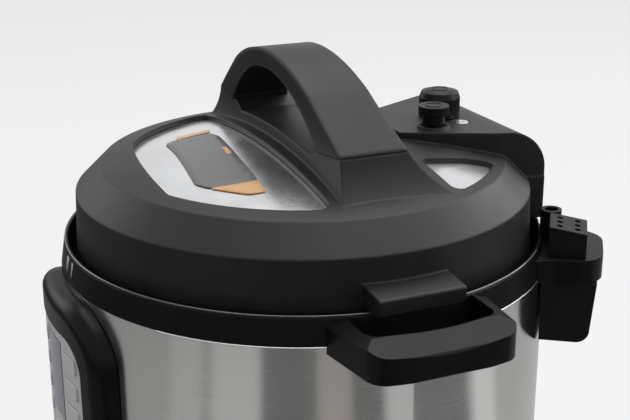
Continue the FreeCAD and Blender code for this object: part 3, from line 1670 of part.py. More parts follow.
def make_window_plate():
    """Steel plate that fills the front window close under the cover."""
    lap = d.window_plate_lap
    top = d.dome_top_z - d.window_plate_drop
    low = top - d.window_plate_thick
    radius = d.dome_radius - d.window_plate_drop
    rim = d.crease_radius
    rim_top = d.crease_z - d.window_plate_drop
    rim_low = rim_top - d.window_plate_thick
    skin = revolved(
        "window_skin",
        [
            (ZERO, low),
            (d.dome_flat, low, -(radius - d.window_plate_thick)),
            (rim, rim_low),
            (rim, rim_top, radius),
            (d.dome_flat, top),
            (ZERO, top),
        ],
    )
    plan = [
        (-(d.window_back_x + lap / 2), -(d.window_back_y - lap), d.window_side_radius + lap),
        (-(d.window_far_x + lap / 2), -(d.window_far_y + lap), d.window_front_radius + lap),
        (d.window_front_x + lap / 2, -(d.window_front_y + lap), d.window_side_radius + lap),
        (d.window_back_x + lap / 2, -(d.window_back_y - lap)),
    ]
    base_z = d.foot_bury_z - d.over_cut
    shape = padded("window_plate_plan", "XY_Plane", plan, base_z, d.dome_top_z - base_z)
    shape = rounded(shape, "window_plate_round", d.window_round, lambda edge: straight(edge, Z_AXIS))
    node("lid_window_plate", common("window_plate_solid", [skin, shape]))
    for side, word in ((1, "right"), (-1, "left")):
        corner_a = ((d.moon_a_x - lap / 2) * side, d.moon_a_y - lap / 2)
        corner_b = ((d.moon_b_x + lap / 2) * side, d.moon_b_y - lap / 2)
        corner_c = ((d.moon_c_x + lap / 2) * side, d.moon_c_y + lap / 2)
        corner_d = ((d.moon_d_x - lap / 2) * side, d.moon_d_y + lap / 2)
        if side > 0:
            rear = [corner_a, corner_b + (d.moon_radius + lap,), corner_c, corner_d]
        else:
            rear = [corner_a, corner_d, corner_c + (d.moon_radius + lap,), corner_b]
        blank = padded("rear_plate_plan_" + word, "XY_Plane", rear, base_z, d.dome_top_z - base_z)
        sheet = revolved(
            "rear_skin_" + word,
            [
                (ZERO, low),
                (d.dome_flat, low, -(radius - d.window_plate_thick)),
                (rim, rim_low),
                (rim, rim_top, radius),
                (d.dome_flat, top),
                (ZERO, top),
            ],
        )
        node("lid_rear_plate_" + word, common("rear_plate_" + word, [sheet, blank]))


def rocker_frame():
    """Middle of the line from the steam valve to the button, and that line's turn."""
    dx = d.button_x - d.valve_x
    dy = d.button_y - d.valve_y
    way = Size(
        math.degrees(math.atan2(dy.value, dx.value)),
        "(atan2(%s; %s) / 1 deg)" % (dy.text, dx.text),
    )
    return (d.valve_x + d.button_x) / 2, (d.valve_y + d.button_y) / 2, way


def across(way):
    """Level direction at right angles to a turn about the vertical."""
    turn = math.radians(way.value)
    return FreeCAD.Vector(-math.sin(turn), math.cos(turn), 0)


def make_rocker():
    """Rocker that passes the push of the button to the steam valve, and its return spring."""
    pivot_x, pivot_y, way = rocker_frame()
    bar = doc.addObject("Part::Box", "rocker_bar")
    bind(bar, "Length", d.rocker_valve_arm + d.rocker_button_arm)
    bind(bar, "Width", d.rocker_wide)
    bind(bar, "Height", d.rocker_thick)
    bar_x, bar_y = swung(-d.rocker_valve_arm, -d.rocker_wide / 2, way)
    place(bar, pivot_x + bar_x, pivot_y + bar_y, d.rocker_z - d.rocker_thick / 2, way)
    start_x, start_y = swung(ZERO, -d.rocker_pin_half, way)
    pin = lying(
        "rocker_pin",
        d.rocker_pin_radius,
        d.rocker_pin_half * 2,
        pivot_x + start_x,
        pivot_y + start_y,
        d.rocker_z,
        across(way),
    )
    node("release_rocker", fuse("rocker_solid", [bar, pin]))
    spring_high = d.rocker_z - d.rocker_thick / 2 - d.slide_gap - d.release_spring_base_z
    node(
        "release_spring",
        cylinder(
            "release_spring_post",
            d.release_spring_radius,
            spring_high,
            d.button_x,
            d.button_y,
            d.release_spring_base_z,
        ),
    )


def make_grip():
    """Grip cap of the lid handle: a tapered arch over the finger opening."""
    gap = d.fit_gap
    front_view = [
        (d.seam_inner_x, d.seam_inner_z + gap),
        (d.seam_x, d.seam_z + gap),
        (d.grip_turn_x, d.grip_turn_z, d.grip_top_radius),
        (-d.grip_turn_x, d.grip_turn_z),
        (-d.seam_x, d.seam_z + gap),
        (-d.seam_inner_x, d.seam_inner_z + gap),
        (-d.seam_inner_x, d.grip_hole_low_z, -d.grip_hole_radius),
        (d.seam_inner_x, d.grip_hole_low_z),
    ]
    reach = d.grip_half + d.over_cut
    arch = padded("grip_front", "XZ_Plane", front_view, -reach, reach * 2)
    plan = [
        (-d.seam_x, -d.seam_half, d.grip_plan_radius),
        (d.seam_x, -d.seam_half),
        (d.seam_x, d.seam_rear_half, -d.grip_rear_radius),
        (-d.seam_x, d.seam_rear_half),
    ]
    low = d.platform_z
    taper = padded("grip_plan", "XY_Plane", plan, low, d.grip_top_z - low + d.over_cut)
    node("handle_grip", common("grip_solid", [arch, taper]))


def make_valves():
    """Steam pipe and cap, release button, float valve and the shield under the lid."""
    pipe_high = d.pipe_top_z - d.pipe_base_z
    pipe = cylinder("pipe_wall", d.pipe_radius, pipe_high, d.valve_x, d.valve_y, d.pipe_base_z)
    nut_z = d.lid_wall_top_z + d.lid_steel_thick
    nut = cylinder("pipe_nut", d.pipe_nut_radius, nut_z - d.pipe_base_z, d.valve_x, d.valve_y, d.pipe_base_z)
    low = d.pipe_base_z - d.over_cut
    bore = cylinder("pipe_bore_tool", d.pipe_bore, d.pipe_top_z - low + d.over_cut, d.valve_x, d.valve_y, low)
    node("steam_pipe", cut("pipe_cut", fuse("pipe_solid", [pipe, nut]), [bore]))
    shield_z = d.pipe_base_z - d.shield_high
    cage = cylinder("shield_cage", d.shield_radius, d.shield_high, d.valve_x, d.valve_y, shield_z)
    cave_z = shield_z + d.shield_slot
    cave_high = d.shield_high - d.shield_slot * 2
    cave = cylinder("shield_cave", d.shield_radius - d.shield_slot, cave_high, d.valve_x, d.valve_y, cave_z)
    throat = cylinder("shield_throat", d.pipe_bore, d.shield_high, d.valve_x, d.valve_y, cave_z)
    slots = [cave, throat]
    for index in range(3):
        slots.append(
            box(
                "shield_slot_%d" % index,
                d.shield_radius * 2 + d.over_cut * 2,
                d.shield_slot,
                cave_high,
                d.valve_x - d.shield_radius - d.over_cut,
                d.valve_y + d.shield_slot * 2 * (index - 1) - d.shield_slot / 2,
                cave_z,
            )
        )
    node("anti_block_shield", cut("shield_cut", cage, slots))
    # steam valve cap
    collar_z = d.rocker_z + d.rocker_thick / 2 + d.slide_gap
    stem_z = d.shroud_top_z - d.over_cut / 2
    crown_z = d.valve_top_z - d.valve_bevel
    shoulder_z = crown_z - d.valve_crown_high
    shoulder = d.valve_radius - d.valve_bevel
    head_high = shoulder_z - d.valve_under_z
    parts = [
        cylinder("valve_head", d.valve_radius, head_high, d.valve_x, d.valve_y, d.valve_under_z),
        cone(
            "valve_shoulder",
            d.valve_radius,
            shoulder,
            d.valve_crown_high,
            d.valve_x,
            d.valve_y,
            shoulder_z,
        ),
        cone(
            "valve_crown",
            shoulder,
            shoulder - d.valve_crown_bevel,
            d.valve_bevel,
            d.valve_x,
            d.valve_y,
            crown_z,
        ),
        cylinder("valve_stem", d.valve_stem_radius, d.valve_under_z - stem_z, d.valve_x, d.valve_y, stem_z),
        cylinder("valve_collar", d.valve_collar_radius, stem_z - collar_z, d.valve_x, d.valve_y, collar_z),
    ]
    bore_high = d.pipe_top_z + d.slide_gap - collar_z + d.over_cut
    hollow = cylinder(
        "valve_hollow", d.pipe_radius + d.slide_gap, bore_high, d.valve_x, d.valve_y, collar_z - d.over_cut
    )
    node("steam_valve_cap", cut("valve_cut", fuse("valve_solid", parts), [hollow]))
    # quick release button
    head_z = d.button_top_z - d.button_head_high
    stem_low = d.shroud_top_z + d.button_travel - d.over_cut / 2
    tip_z = d.rocker_z + d.rocker_thick / 2 + d.slide_gap
    button = [
        cylinder("button_head", d.button_radius, d.button_head_high, d.button_x, d.button_y, head_z),
        cylinder("button_stem", d.button_stem_radius, head_z - stem_low, d.button_x, d.button_y, stem_low),
        cylinder(
            "button_rod",
            d.button_rod_radius,
            stem_low - tip_z - d.button_tip_high,
            d.button_x,
            d.button_y,
            tip_z + d.button_tip_high,
        ),
        cylinder("button_tip", d.button_tip_radius, d.button_tip_high, d.button_x, d.button_y, tip_z),
    ]
    node("quick_release_button", fuse("button_solid", button))
    # float valve with its silicone cap
    head = cylinder(
        "float_head",
        d.float_radius,
        d.float_head_thick,
        d.float_x,
        d.float_y,
        d.shroud_top_z - d.float_head_thick,
    )
    pin = cylinder(
        "float_pin",
        d.float_pin_radius,
        d.shroud_top_z - d.float_base_z,
        d.float_x,
        d.float_y,
        d.float_base_z,
    )
    dimple = cylinder(
        "float_dimple",
        d.float_bore,
        d.float_head_thick,
        d.float_x,
        d.float_y,
        d.shroud_top_z - d.float_head_thick / 2,
    )
    node("float_valve", cut("float_cut", fuse("float_solid", [head, pin]), [dimple]))
    cap = cylinder(
        "float_cap",
        d.float_cap_radius,
        d.float_cap_high,
        d.float_x,
        d.float_y,
        d.float_base_z - d.float_cap_high,
    )
    node("float_seal", cap)
    # screws that hold the cover to the steel lid
    screws = []
    for side, word in ((-1, "left"), (1, "right")):
        x = d.boss_x * side
        top = d.boss_base_z + d.screw_head_high * 2
        head_z = d.boss_base_z - d.lid_steel_thick * 3 - d.screw_head_high - d.fit_gap * 2
        head = cylinder("lid_screw_head_" + word, d.screw_head_radius, d.screw_head_high, x, ZERO, head_z)
        shank = cylinder("lid_screw_shank_" + word, d.lid_screw_radius, top - head_z, x, ZERO, head_z)
        screws.append(fuse("lid_screw_" + word, [head, shank]))
    node("lid_screws", group("lid_screw_set", screws))


make_shell()
make_bottom()
make_collar()
make_handles()
make_ledge()
make_cup()
make_panel()
make_inlet()
make_outer_pot()
make_pot()
make_seal()
make_lid_steel()
make_lid_cover()
make_window_plate()
make_rocker()
make_grip()
make_valves()
doc.recompute()

problems = []
for item in doc.Objects:
    if "Invalid" in item.State or "Error" in item.State:
        problems.append("%s is not computed: %s" % (item.Name, item.State))
for name, item in NODES.items():
    if item.Shape.isNull() or not item.Shape.isValid():
        problems.append("%s has no valid shape" % name)
if problems:
    raise RuntimeError("; ".join(problems))

os.makedirs("parts", exist_ok=True)
for name, item in NODES.items():
    item.Shape.exportStep("parts/%s.step" % name)
    print(name, len(item.Shape.Solids), round(item.Shape.Volume, 1))
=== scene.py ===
"""Looks of the electric pressure cooker: studio, camera, finishes and small dressed pieces."""
import json
import logging
import math
from dataclasses import dataclass, field
from enum import Enum
from typing import Callable, Dict, List, Sequence, Tuple

import bmesh
import bpy
from mathutils import Matrix, Vector


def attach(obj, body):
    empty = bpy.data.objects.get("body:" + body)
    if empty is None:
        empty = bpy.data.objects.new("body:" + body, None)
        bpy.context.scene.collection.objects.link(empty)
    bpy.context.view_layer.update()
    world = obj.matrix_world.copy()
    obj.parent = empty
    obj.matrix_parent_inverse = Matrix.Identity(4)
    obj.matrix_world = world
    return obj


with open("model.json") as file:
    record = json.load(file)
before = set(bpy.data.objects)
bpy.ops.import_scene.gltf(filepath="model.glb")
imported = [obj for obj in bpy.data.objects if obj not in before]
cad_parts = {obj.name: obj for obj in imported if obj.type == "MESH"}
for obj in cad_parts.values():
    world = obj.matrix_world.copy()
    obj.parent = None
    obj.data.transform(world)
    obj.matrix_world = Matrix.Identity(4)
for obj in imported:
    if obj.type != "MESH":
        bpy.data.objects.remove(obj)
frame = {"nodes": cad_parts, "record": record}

Point2 = Tuple[float, float]
Point3 = Tuple[float, float, float]
Colour = Tuple[float, float, float]
Socket = bpy.types.NodeSocket
Made = Dict[str, bpy.types.Material]

LOG = logging.getLogger("cooker")
MM = 0.001
FULL_TURN = 360.0
# Noise values mostly lie between these two.
NOISE_LOW = 0.3
NOISE_HIGH = 0.7
# Octaves of the noises that only make a fine grain.
FINE_OCTAVES = 2.0
# The share of a side that a rounded corner may take up.
CORNER_SHARE = 0.45
# Patches that follow a surface are divided this often, down to this edge in mm.
PATCH_ROUNDS = 3
PATCH_EDGE = 5.0


class Slot(Enum):
    """The record's material slots."""

    BRUSHED_STEEL = "brushed_steel"
    BASE_PLASTIC = "base_plastic"
    SCREW_STEEL = "screw_steel"
    RUBBER = "rubber"
    RIM_PLASTIC = "rim_plastic"
    CONNECTOR_PLASTIC = "connector_plastic"
    CUP_PLASTIC = "cup_plastic"
    PANEL_PLASTIC = "panel_plastic"
    FACIA_SILVER = "facia_silver"
    DISPLAY_GLASS = "display_glass"
    CIRCUIT_BOARD = "circuit_board"
    PIN_BRASS = "pin_brass"
    POT_STEEL = "pot_steel"
    HEATER_ALUMINIUM = "heater_aluminium"
    SPRING_STEEL = "spring_steel"
    SILICONE = "silicone"
    LID_STEEL = "lid_steel"
    LID_PLASTIC = "lid_plastic"
    GRIP_PLASTIC = "grip_plastic"
    VALVE_PLASTIC = "valve_plastic"
    FLOAT_STEEL = "float_steel"
    KEY_PLASTIC = "key_plastic"


class Body(Enum):
    """The moving bodies that dressed pieces ride on."""

    BASE = "base"
    LID = "lid"
    STEAM_VALVE = "steam_valve"
    RELEASE_BUTTON = "release_button"


# ---------------------------------------------------------------- finishes


class Nodes:
    """A small builder round one node tree."""

    def __init__(self, tree: bpy.types.NodeTree) -> None:
        """Starts with an empty tree.

        Args:
            tree: The tree of a material or a world.
        """
        self.tree = tree
        self.tree.nodes.clear()

    def add(self, kind: str, **values: object) -> bpy.types.Node:
        """Adds a node and sets its properties.

        Args:
            kind: The node type without its ShaderNode prefix.
            **values: Node properties by name.

        Returns:
            The new node.
        """
        node = self.tree.nodes.new("ShaderNode" + kind)
        for key, value in values.items():
            setattr(node, key, value)
        return node

    def put(self, node: bpy.types.Node, **values: object) -> bpy.types.Node:
        """Sets default values of a node's inputs.

        Args:
            node: The node.
            **values: Values by socket name, with underscores for spaces.

        Returns:
            The same node.
        """
        for key, value in values.items():
            node.inputs[key.replace("_", " ")].default_value = value
        return node

    def link(self, source: Socket, target: Socket) -> None:
        """Joins two sockets."""
        self.tree.links.new(source, target)

    def mixed(self, share: Socket, first: bpy.types.Node,
              second: bpy.types.Node) -> bpy.types.Node:
        """Mixes two shaders.

        Args:
            share: How much of the second one is taken.
            first: The first shader.
            second: The second shader.

        Returns:
            The mixing node.
        """
        mix = self.add("MixShader")
        self.link(share, mix.inputs["Fac"])
        self.link(first.outputs[0], mix.inputs[1])
        self.link(second.outputs[0], mix.inputs[2])
        return mix


@dataclass(frozen=True)
class Swing:
    """How far a noise carries a finish: factors of its tone, and steps of its roughness."""

    dark: float
    light: float
    smoother: float
    rougher: float


class Shader(Nodes):
    """A small builder round one material's node tree."""

    bevel_samples = 6

    def __init__(self, name: str) -> None:
        """Starts an empty material.

        Args:
            name: The material's name.
        """
        self.material: bpy.types.Material = bpy.data.materials.new(name)
        self.material.use_nodes = True
        super().__init__(self.material.node_tree)
        self.output = self.add("OutputMaterial")

    def place(self, scale: Point3) -> Socket:
        """Object coordinates stretched by a scale.

        Args:
            scale: Cells per metre along each axis.

        Returns:
            The vector socket.
        """
        coordinates = self.add("TexCoord")
        mapping = self.put(self.add("Mapping"), Scale=scale)
        self.link(coordinates.outputs["Object"], mapping.inputs["Vector"])
        return mapping.outputs["Vector"]

    def noise(self, scale: Point3, detail: float = 3.0, rough: float = 0.55) -> Socket:
        """A noise value over the object.

        Args:
            scale: Cells per metre along each axis.
            detail: Octaves of the noise.
            rough: How strong the fine octaves are.

        Returns:
            The value socket, about 0.3 to 0.7.
        """
        node = self.put(self.add("TexNoise"), Scale=1.0, Detail=detail, Roughness=rough)
        self.link(self.place(scale), node.inputs["Vector"])
        return node.outputs["Fac"]

    def ramp(self, value: Socket, low: Colour, high: Colour) -> Socket:
        """Turns a noise value into a colour between two tones.

        Args:
            value: The driving value.
            low: Colour at a low value.
            high: Colour at a high value.

        Returns:
            The colour socket.
        """
        node = self.add("ValToRGB")
        node.color_ramp.elements[0].position = NOISE_LOW
        node.color_ramp.elements[1].position = NOISE_HIGH
        node.color_ramp.elements[0].color = (*low, 1.0)
        node.color_ramp.elements[1].color = (*high, 1.0)
        self.link(value, node.inputs["Fac"])
        return node.outputs["Color"]

    def spread(self, value: Socket, low: float, high: float) -> Socket:
        """Maps a noise value to a range.

        Args:
            value: The driving value.
            low: Result at a low value.
            high: Result at a high value.

        Returns:
            The value socket.
        """
        node = self.put(self.add("MapRange"), From_Min=NOISE_LOW, From_Max=NOISE_HIGH,
                        To_Min=low, To_Max=high)
        self.link(value, node.inputs["Value"])
        return node.outputs["Result"]

    def vary(self, body: bpy.types.Node, value: Socket, colour: Colour, roughness: float,
             swing: Swing) -> None:
        """Lets a noise vary the colour and roughness of a shader.

        Args:
            body: The shader.
            value: The noise.
            colour: The middle colour.
            roughness: The middle roughness.
            swing: How far both go.
        """
        self.link(self.ramp(value, toned(colour, swing.dark), toned(colour, swing.light)),
                  body.inputs["Base Color"])
        self.link(self.spread(value, roughness - swing.smoother, roughness + swing.rougher),
                  body.inputs["Roughness"])

    def surface(self, edge: float, height: Socket, depth: float, strength: float) -> Socket:
        """A normal with soft edges and a fine relief.

        Args:
            edge: Radius that the sharp edges seem to have, in metres.
            height: The relief's value.
            depth: The relief's depth in metres.
            strength: The relief's strength.

        Returns:
            The normal socket.
        """
        bump = self.put(self.add("Bump"), Strength=strength, Distance=depth)
        self.link(height, bump.inputs["Height"])
        if edge > 0.0:
            bevel = self.put(self.add("Bevel", samples=self.bevel_samples), Radius=edge)
            self.link(bevel.outputs["Normal"], bump.inputs["Normal"])
        return bump.outputs["Normal"]

    def close(self, shader: bpy.types.Node) -> bpy.types.Material:
        """Joins the last shader to the output and returns the material."""
        self.link(shader.outputs[0], self.output.inputs["Surface"])
        return self.material


def toned(colour: Colour, factor: float) -> Colour:
    """A colour made darker or lighter by a factor."""
    return (colour[0] * factor, colour[1] * factor, colour[2] * factor)


def evenly(cells: float) -> Point3:
    """The same number of noise cells per metre along each axis."""
    return (cells, cells, cells)


@dataclass(frozen=True)
class Finish:
    """What every finish has: a name and a way to make its material."""

    name: str

    def make(self) -> bpy.types.Material:
        """Makes the material; each kind of finish does this its own way."""
        raise NotImplementedError(self.name)


@dataclass(frozen=True)
class MouldedPlastic(Finish):
    """Moulded plastic: a spark-eroded grain, slight tone changes and soft edges."""

    colour: Colour
    roughness: float = 0.45
    specular: float = 0.5
    grain: float = 2600.0
    relief: float = 0.12
    edge: float = 0.0007
    coat: float = 0.0
    coat_roughness: float = 0.12
    mottle: float = 38.0
    octaves: float = 4.0
    swing: Swing = Swing(0.86, 1.14, 0.035, 0.035)
    depth: float = 0.00012

    def make(self) -> bpy.types.Material:
        """Makes the plastic's material."""
        shade = Shader(self.name)
        body = shade.put(shade.add("BsdfPrincipled"), Specular_IOR_Level=self.specular,
                         Coat_Weight=self.coat, Coat_Roughness=self.coat_roughness)
        tone = shade.noise(evenly(self.mottle), self.octaves)
        shade.vary(body, tone, self.colour, self.roughness, self.swing)
        grain = shade.noise(evenly(self.grain), FINE_OCTAVES)
        shade.link(shade.surface(self.edge, grain, self.depth, self.relief), body.inputs["Normal"])
        return shade.close(body)


@dataclass(frozen=True)
class BrushedMetal(Finish):
    """Metal brushed round its axis, which stretches what it mirrors across the lines."""

    colour: Colour
    roughness: float = 0.28
    anisotropy: float = 0.7
    lines: float = 2400.0
    relief: float = 0.08
    edge: float = 0.0005
    along: float = 18.0
    octaves: float = 3.0
    fineness: float = 0.6
    turn: float = 0.25
    swing: Swing = Swing(0.93, 1.05, 0.05, 0.07)
    depth: float = 0.00005

    def make(self) -> bpy.types.Material:
        """Makes the metal's material."""
        shade = Shader(self.name)
        body = shade.put(shade.add("BsdfPrincipled"), Metallic=1.0, Anisotropic=self.anisotropy,
                         Anisotropic_Rotation=self.turn)
        lines = shade.noise((self.along, self.along, self.lines), self.octaves, self.fineness)
        shade.vary(body, lines, self.colour, self.roughness, self.swing)
        tangent = shade.add("Tangent", direction_type="RADIAL", axis="Z")
        shade.link(tangent.outputs["Tangent"], body.inputs["Tangent"])
        shade.link(shade.surface(self.edge, lines, self.depth, self.relief), body.inputs["Normal"])
        return shade.close(body)


@dataclass(frozen=True)
class RolledMetal(Finish):
    """Rolled sheet or cast metal with cloudy handling marks and faint scratches."""

    colour: Colour
    roughness: float = 0.2
    cloud: float = 0.12
    metallic: float = 1.0
    edge: float = 0.0004
    cells: float = 26.0
    octaves: float = 6.0
    fineness: float = 0.65
    smoother: float = 0.06
    rougher: float = 0.08
    scratches: Point3 = (60.0, 900.0, 900.0)
    depth: float = 0.00003
    relief: float = 0.06

    def make(self) -> bpy.types.Material:
        """Makes the metal's material."""
        shade = Shader(self.name)
        body = shade.put(shade.add("BsdfPrincipled"), Metallic=self.metallic)
        cloud = shade.noise(evenly(self.cells), self.octaves, self.fineness)
        swing = Swing(1.0 - self.cloud, 1.0 + self.cloud, self.smoother, self.rougher)
        shade.vary(body, cloud, self.colour, self.roughness, swing)
        scratch = shade.noise(self.scratches)
        shade.link(shade.surface(self.edge, scratch, self.depth, self.relief), body.inputs["Normal"])
        return shade.close(body)


@dataclass(frozen=True)
class SoftRubber(Finish):
    """Rubber or silicone: matt, a little cloudy, with a powdery sheen."""

    colour: Colour
    roughness: float = 0.7
    translucence: float = 0.0
    specular: float = 0.3
    sheen: float = 0.08
    mottle: float = 70.0
    swing: Swing = Swing(0.88, 1.1, 0.05, 0.05)
    grain: float = 1500.0
    edge: float = 0.0006
    depth: float = 0.0001
    relief: float = 0.1

    def make(self) -> bpy.types.Material:
        """Makes the rubber's material."""
        shade = Shader(self.name)
        body = shade.put(shade.add("BsdfPrincipled"), Specular_IOR_Level=self.specular,
                         Sheen_Weight=self.sheen, Subsurface_Weight=self.translucence)
        tone = shade.noise(evenly(self.mottle))
        shade.vary(body, tone, self.colour, self.roughness, self.swing)
        grain = shade.noise(evenly(self.grain), FINE_OCTAVES)
        shade.link(shade.surface(self.edge, grain, self.depth, self.relief), body.inputs["Normal"])
        return shade.close(body)


@dataclass(frozen=True)
class DisplayPane(Finish):
    """A tinted display pane: a fine grain of cells behind a glossy, slightly wavy face."""

    colour: Colour
    roughness: float = 0.12
    coat: float = 0.6
    coat_roughness: float = 0.04
    cells: float = 500.0
    octaves: float = 1.0
    dark: float = 0.94
    light: float = 1.06
    wave: float = 45.0
    edge: float = 0.0005
    depth: float = 0.00004
    relief: float = 0.05

    def make(self) -> bpy.types.Material:
        """Makes the pane's material."""
        shade = Shader(self.name)
        body = shade.put(shade.add("BsdfPrincipled"), Roughness=self.roughness,
                         Coat_Weight=self.coat, Coat_Roughness=self.coat_roughness)
        cells = shade.noise(evenly(self.cells), self.octaves)
        shade.link(shade.ramp(cells, toned(self.colour, self.dark), toned(self.colour, self.light)),
                   body.inputs["Base Color"])
        wave = shade.noise(evenly(self.wave), FINE_OCTAVES)
        shade.link(shade.surface(self.edge, wave, self.depth, self.relief), body.inputs["Normal"])
        return shade.close(body)


@dataclass(frozen=True)
class BoardLaminate(Finish):
    """Circuit board laminate: woven glass under a green mask with tracks."""

    mask: Colour
    track: Colour
    roughness: float = 0.35
    cells: float = 220.0
    track_wide: float = 0.04
    shaded: float = 0.8
    weave: float = 900.0
    depth: float = 0.00005
    relief: float = 0.15

    def make(self) -> bpy.types.Material:
        """Makes the laminate's material."""
        shade = Shader(self.name)
        body = shade.put(shade.add("BsdfPrincipled"), Roughness=self.roughness)
        tracks = shade.put(shade.add("TexBrick"), Scale=1.0, Mortar_Size=self.track_wide,
                           Color1=(*self.mask, 1.0), Color2=(*toned(self.mask, self.shaded), 1.0),
                           Mortar=(*self.track, 1.0))
        shade.link(shade.place(evenly(self.cells)), tracks.inputs["Vector"])
        shade.link(tracks.outputs["Color"], body.inputs["Base Color"])
        weave = shade.noise(evenly(self.weave), FINE_OCTAVES)
        shade.link(shade.surface(0.0, weave, self.depth, self.relief), body.inputs["Normal"])
        return shade.close(body)


@dataclass(frozen=True)
class PrintedFilm(Finish):
    """Printed film or ink: an even tone with faint mottle and a satin face."""

    colour: Colour
    roughness: float = 0.4
    specular: float = 0.35
    mottle: float = 160.0
    octaves: float = 4.0
    swing: Swing = Swing(0.95, 1.05, 0.04, 0.04)
    grain: float = 1200.0
    depth: float = 0.00002
    relief: float = 0.05

    def make(self) -> bpy.types.Material:
        """Makes the film's material."""
        shade = Shader(self.name)
        body = shade.put(shade.add("BsdfPrincipled"), Specular_IOR_Level=self.specular)
        mottle = shade.noise(evenly(self.mottle), self.octaves)
        shade.vary(body, mottle, self.colour, self.roughness, self.swing)
        grain = shade.noise(evenly(self.grain), FINE_OCTAVES)
        shade.link(shade.surface(0.0, grain, self.depth, self.relief), body.inputs["Normal"])
        return shade.close(body)


DEEP_BLACK: Colour = (0.004, 0.004, 0.0043)
SOFT_BLACK: Colour = (0.007, 0.007, 0.0073)
SILVER: Colour = (0.7, 0.7, 0.705)
PLAIN_STEEL: Colour = (0.5, 0.5, 0.52)

NODE_FINISHES: Dict[Slot, Finish] = {
    Slot.BRUSHED_STEEL: BrushedMetal("brushed_steel", (0.63, 0.63, 0.625), roughness=0.18,
                                     anisotropy=0.85, lines=3600.0, relief=0.02),
    Slot.BASE_PLASTIC: MouldedPlastic("base_plastic", (0.012, 0.012, 0.013), roughness=0.5),
    Slot.SCREW_STEEL: RolledMetal("screw_steel", PLAIN_STEEL, roughness=0.3),
    Slot.RUBBER: SoftRubber("rubber", (0.018, 0.018, 0.019)),
    Slot.RIM_PLASTIC: MouldedPlastic("rim_plastic", DEEP_BLACK, roughness=0.36, specular=0.14,
                                     relief=0.06, edge=0.0009),
    Slot.CONNECTOR_PLASTIC: MouldedPlastic("connector_plastic", DEEP_BLACK, roughness=0.42,
                                           specular=0.18),
    Slot.CUP_PLASTIC: MouldedPlastic("cup_plastic", DEEP_BLACK, roughness=0.32, specular=0.2),
    Slot.PANEL_PLASTIC: MouldedPlastic("panel_plastic", DEEP_BLACK, roughness=0.32, specular=0.13,
                                       relief=0.05),
    Slot.FACIA_SILVER: RolledMetal("facia_silver", SILVER, roughness=0.42, cloud=0.05,
                                   metallic=0.12),
    Slot.DISPLAY_GLASS: DisplayPane("display_glass", (0.16, 0.2, 0.27)),
    Slot.CIRCUIT_BOARD: BoardLaminate("circuit_board", (0.01, 0.09, 0.03), (0.05, 0.2, 0.07)),
    Slot.PIN_BRASS: RolledMetal("pin_brass", (0.72, 0.55, 0.26), roughness=0.25),
    Slot.POT_STEEL: BrushedMetal("pot_steel", (0.66, 0.66, 0.665), roughness=0.24, anisotropy=0.5),
    Slot.HEATER_ALUMINIUM: RolledMetal("heater_aluminium", (0.6, 0.6, 0.62), roughness=0.4),
    Slot.SPRING_STEEL: RolledMetal("spring_steel", PLAIN_STEEL, roughness=0.22),
    Slot.SILICONE: SoftRubber("silicone", (0.62, 0.61, 0.58), roughness=0.5, translucence=0.2),
    Slot.LID_STEEL: RolledMetal("lid_steel", (0.745, 0.752, 0.76), roughness=0.19, cloud=0.07,
                                metallic=0.91),
    Slot.LID_PLASTIC: MouldedPlastic("lid_plastic", SOFT_BLACK, roughness=0.48, specular=0.33,
                                     grain=3200.0, edge=0.0016),
    Slot.GRIP_PLASTIC: MouldedPlastic("grip_plastic", SOFT_BLACK, roughness=0.48, specular=0.27,
                                      grain=3200.0, edge=0.0032),
    Slot.VALVE_PLASTIC: MouldedPlastic("valve_plastic", (0.005, 0.005, 0.0053), roughness=0.36,
                                       specular=0.16, relief=0.08),
    Slot.FLOAT_STEEL: RolledMetal("float_steel", (0.74, 0.74, 0.75), roughness=0.18),
    Slot.KEY_PLASTIC: RolledMetal("key_plastic", SILVER, roughness=0.45, cloud=0.05, metallic=0.12),
}

GREY_FILM = PrintedFilm("sticker_grey", (0.122, 0.124, 0.127))
ORANGE_FILM = PrintedFilm("sticker_orange", (0.61, 0.35, 0.168))
PALE_INK = PrintedFilm("mark_pale", (0.42, 0.42, 0.4))
# Painted highlight: a grey far lighter and glossier than the black rim plastic, laid as a bead along
# the lip's edge, where the real edge only catches light.
LIP_HIGHLIGHT = MouldedPlastic("painted_lip_highlight", (0.07, 0.07, 0.07), roughness=0.2, specular=0.8,
                             relief=0.02, edge=0.0, coat=0.6)
# Partly painted reflection: the shell's real rolled top edge, in a steel lighter than the shell's,
# to give the bright line under the rim.
ROLLED_EDGE_REFLECTION = RolledMetal("rolled_edge_reflection", (0.78, 0.78, 0.76), roughness=0.3, cloud=0.05)


def worn(finish: Finish, made: Made) -> bpy.types.Material:
    """The material of a finish, made when it is first asked for."""
    if finish.name not in made:
        made[finish.name] = finish.make()
    return made[finish.name]


# ---------------------------------------------------------------- mesh tools


def put_in_scene(name: str, data: bpy.types.ID) -> bpy.types.Object:
    """Makes an object of a mesh, light or camera and links it into the scene."""
    item = bpy.data.objects.new(name, data)
    bpy.context.scene.collection.objects.link(item)
    return item


def stored(work: bmesh.types.BMesh, name: str) -> bpy.types.Mesh:
    """Keeps a working mesh under a name and frees the work."""
    mesh = bpy.data.meshes.new(name)
    work.to_mesh(mesh)
    work.free()
    return mesh


def closed(work: bmesh.types.BMesh, name: str) -> bpy.types.Mesh:
    """Turns a closed working mesh's faces outwards and keeps it under a name."""
    bmesh.ops.recalc_face_normals(work, faces=work.faces[:])
    return stored(work, name)


def polar(radius: float, angle: float, height: float) -> Point3:
    """The point at a radius, an angle in degrees and a height."""
    turn = math.radians(angle)
    return (radius * math.cos(turn), radius * math.sin(turn), height)


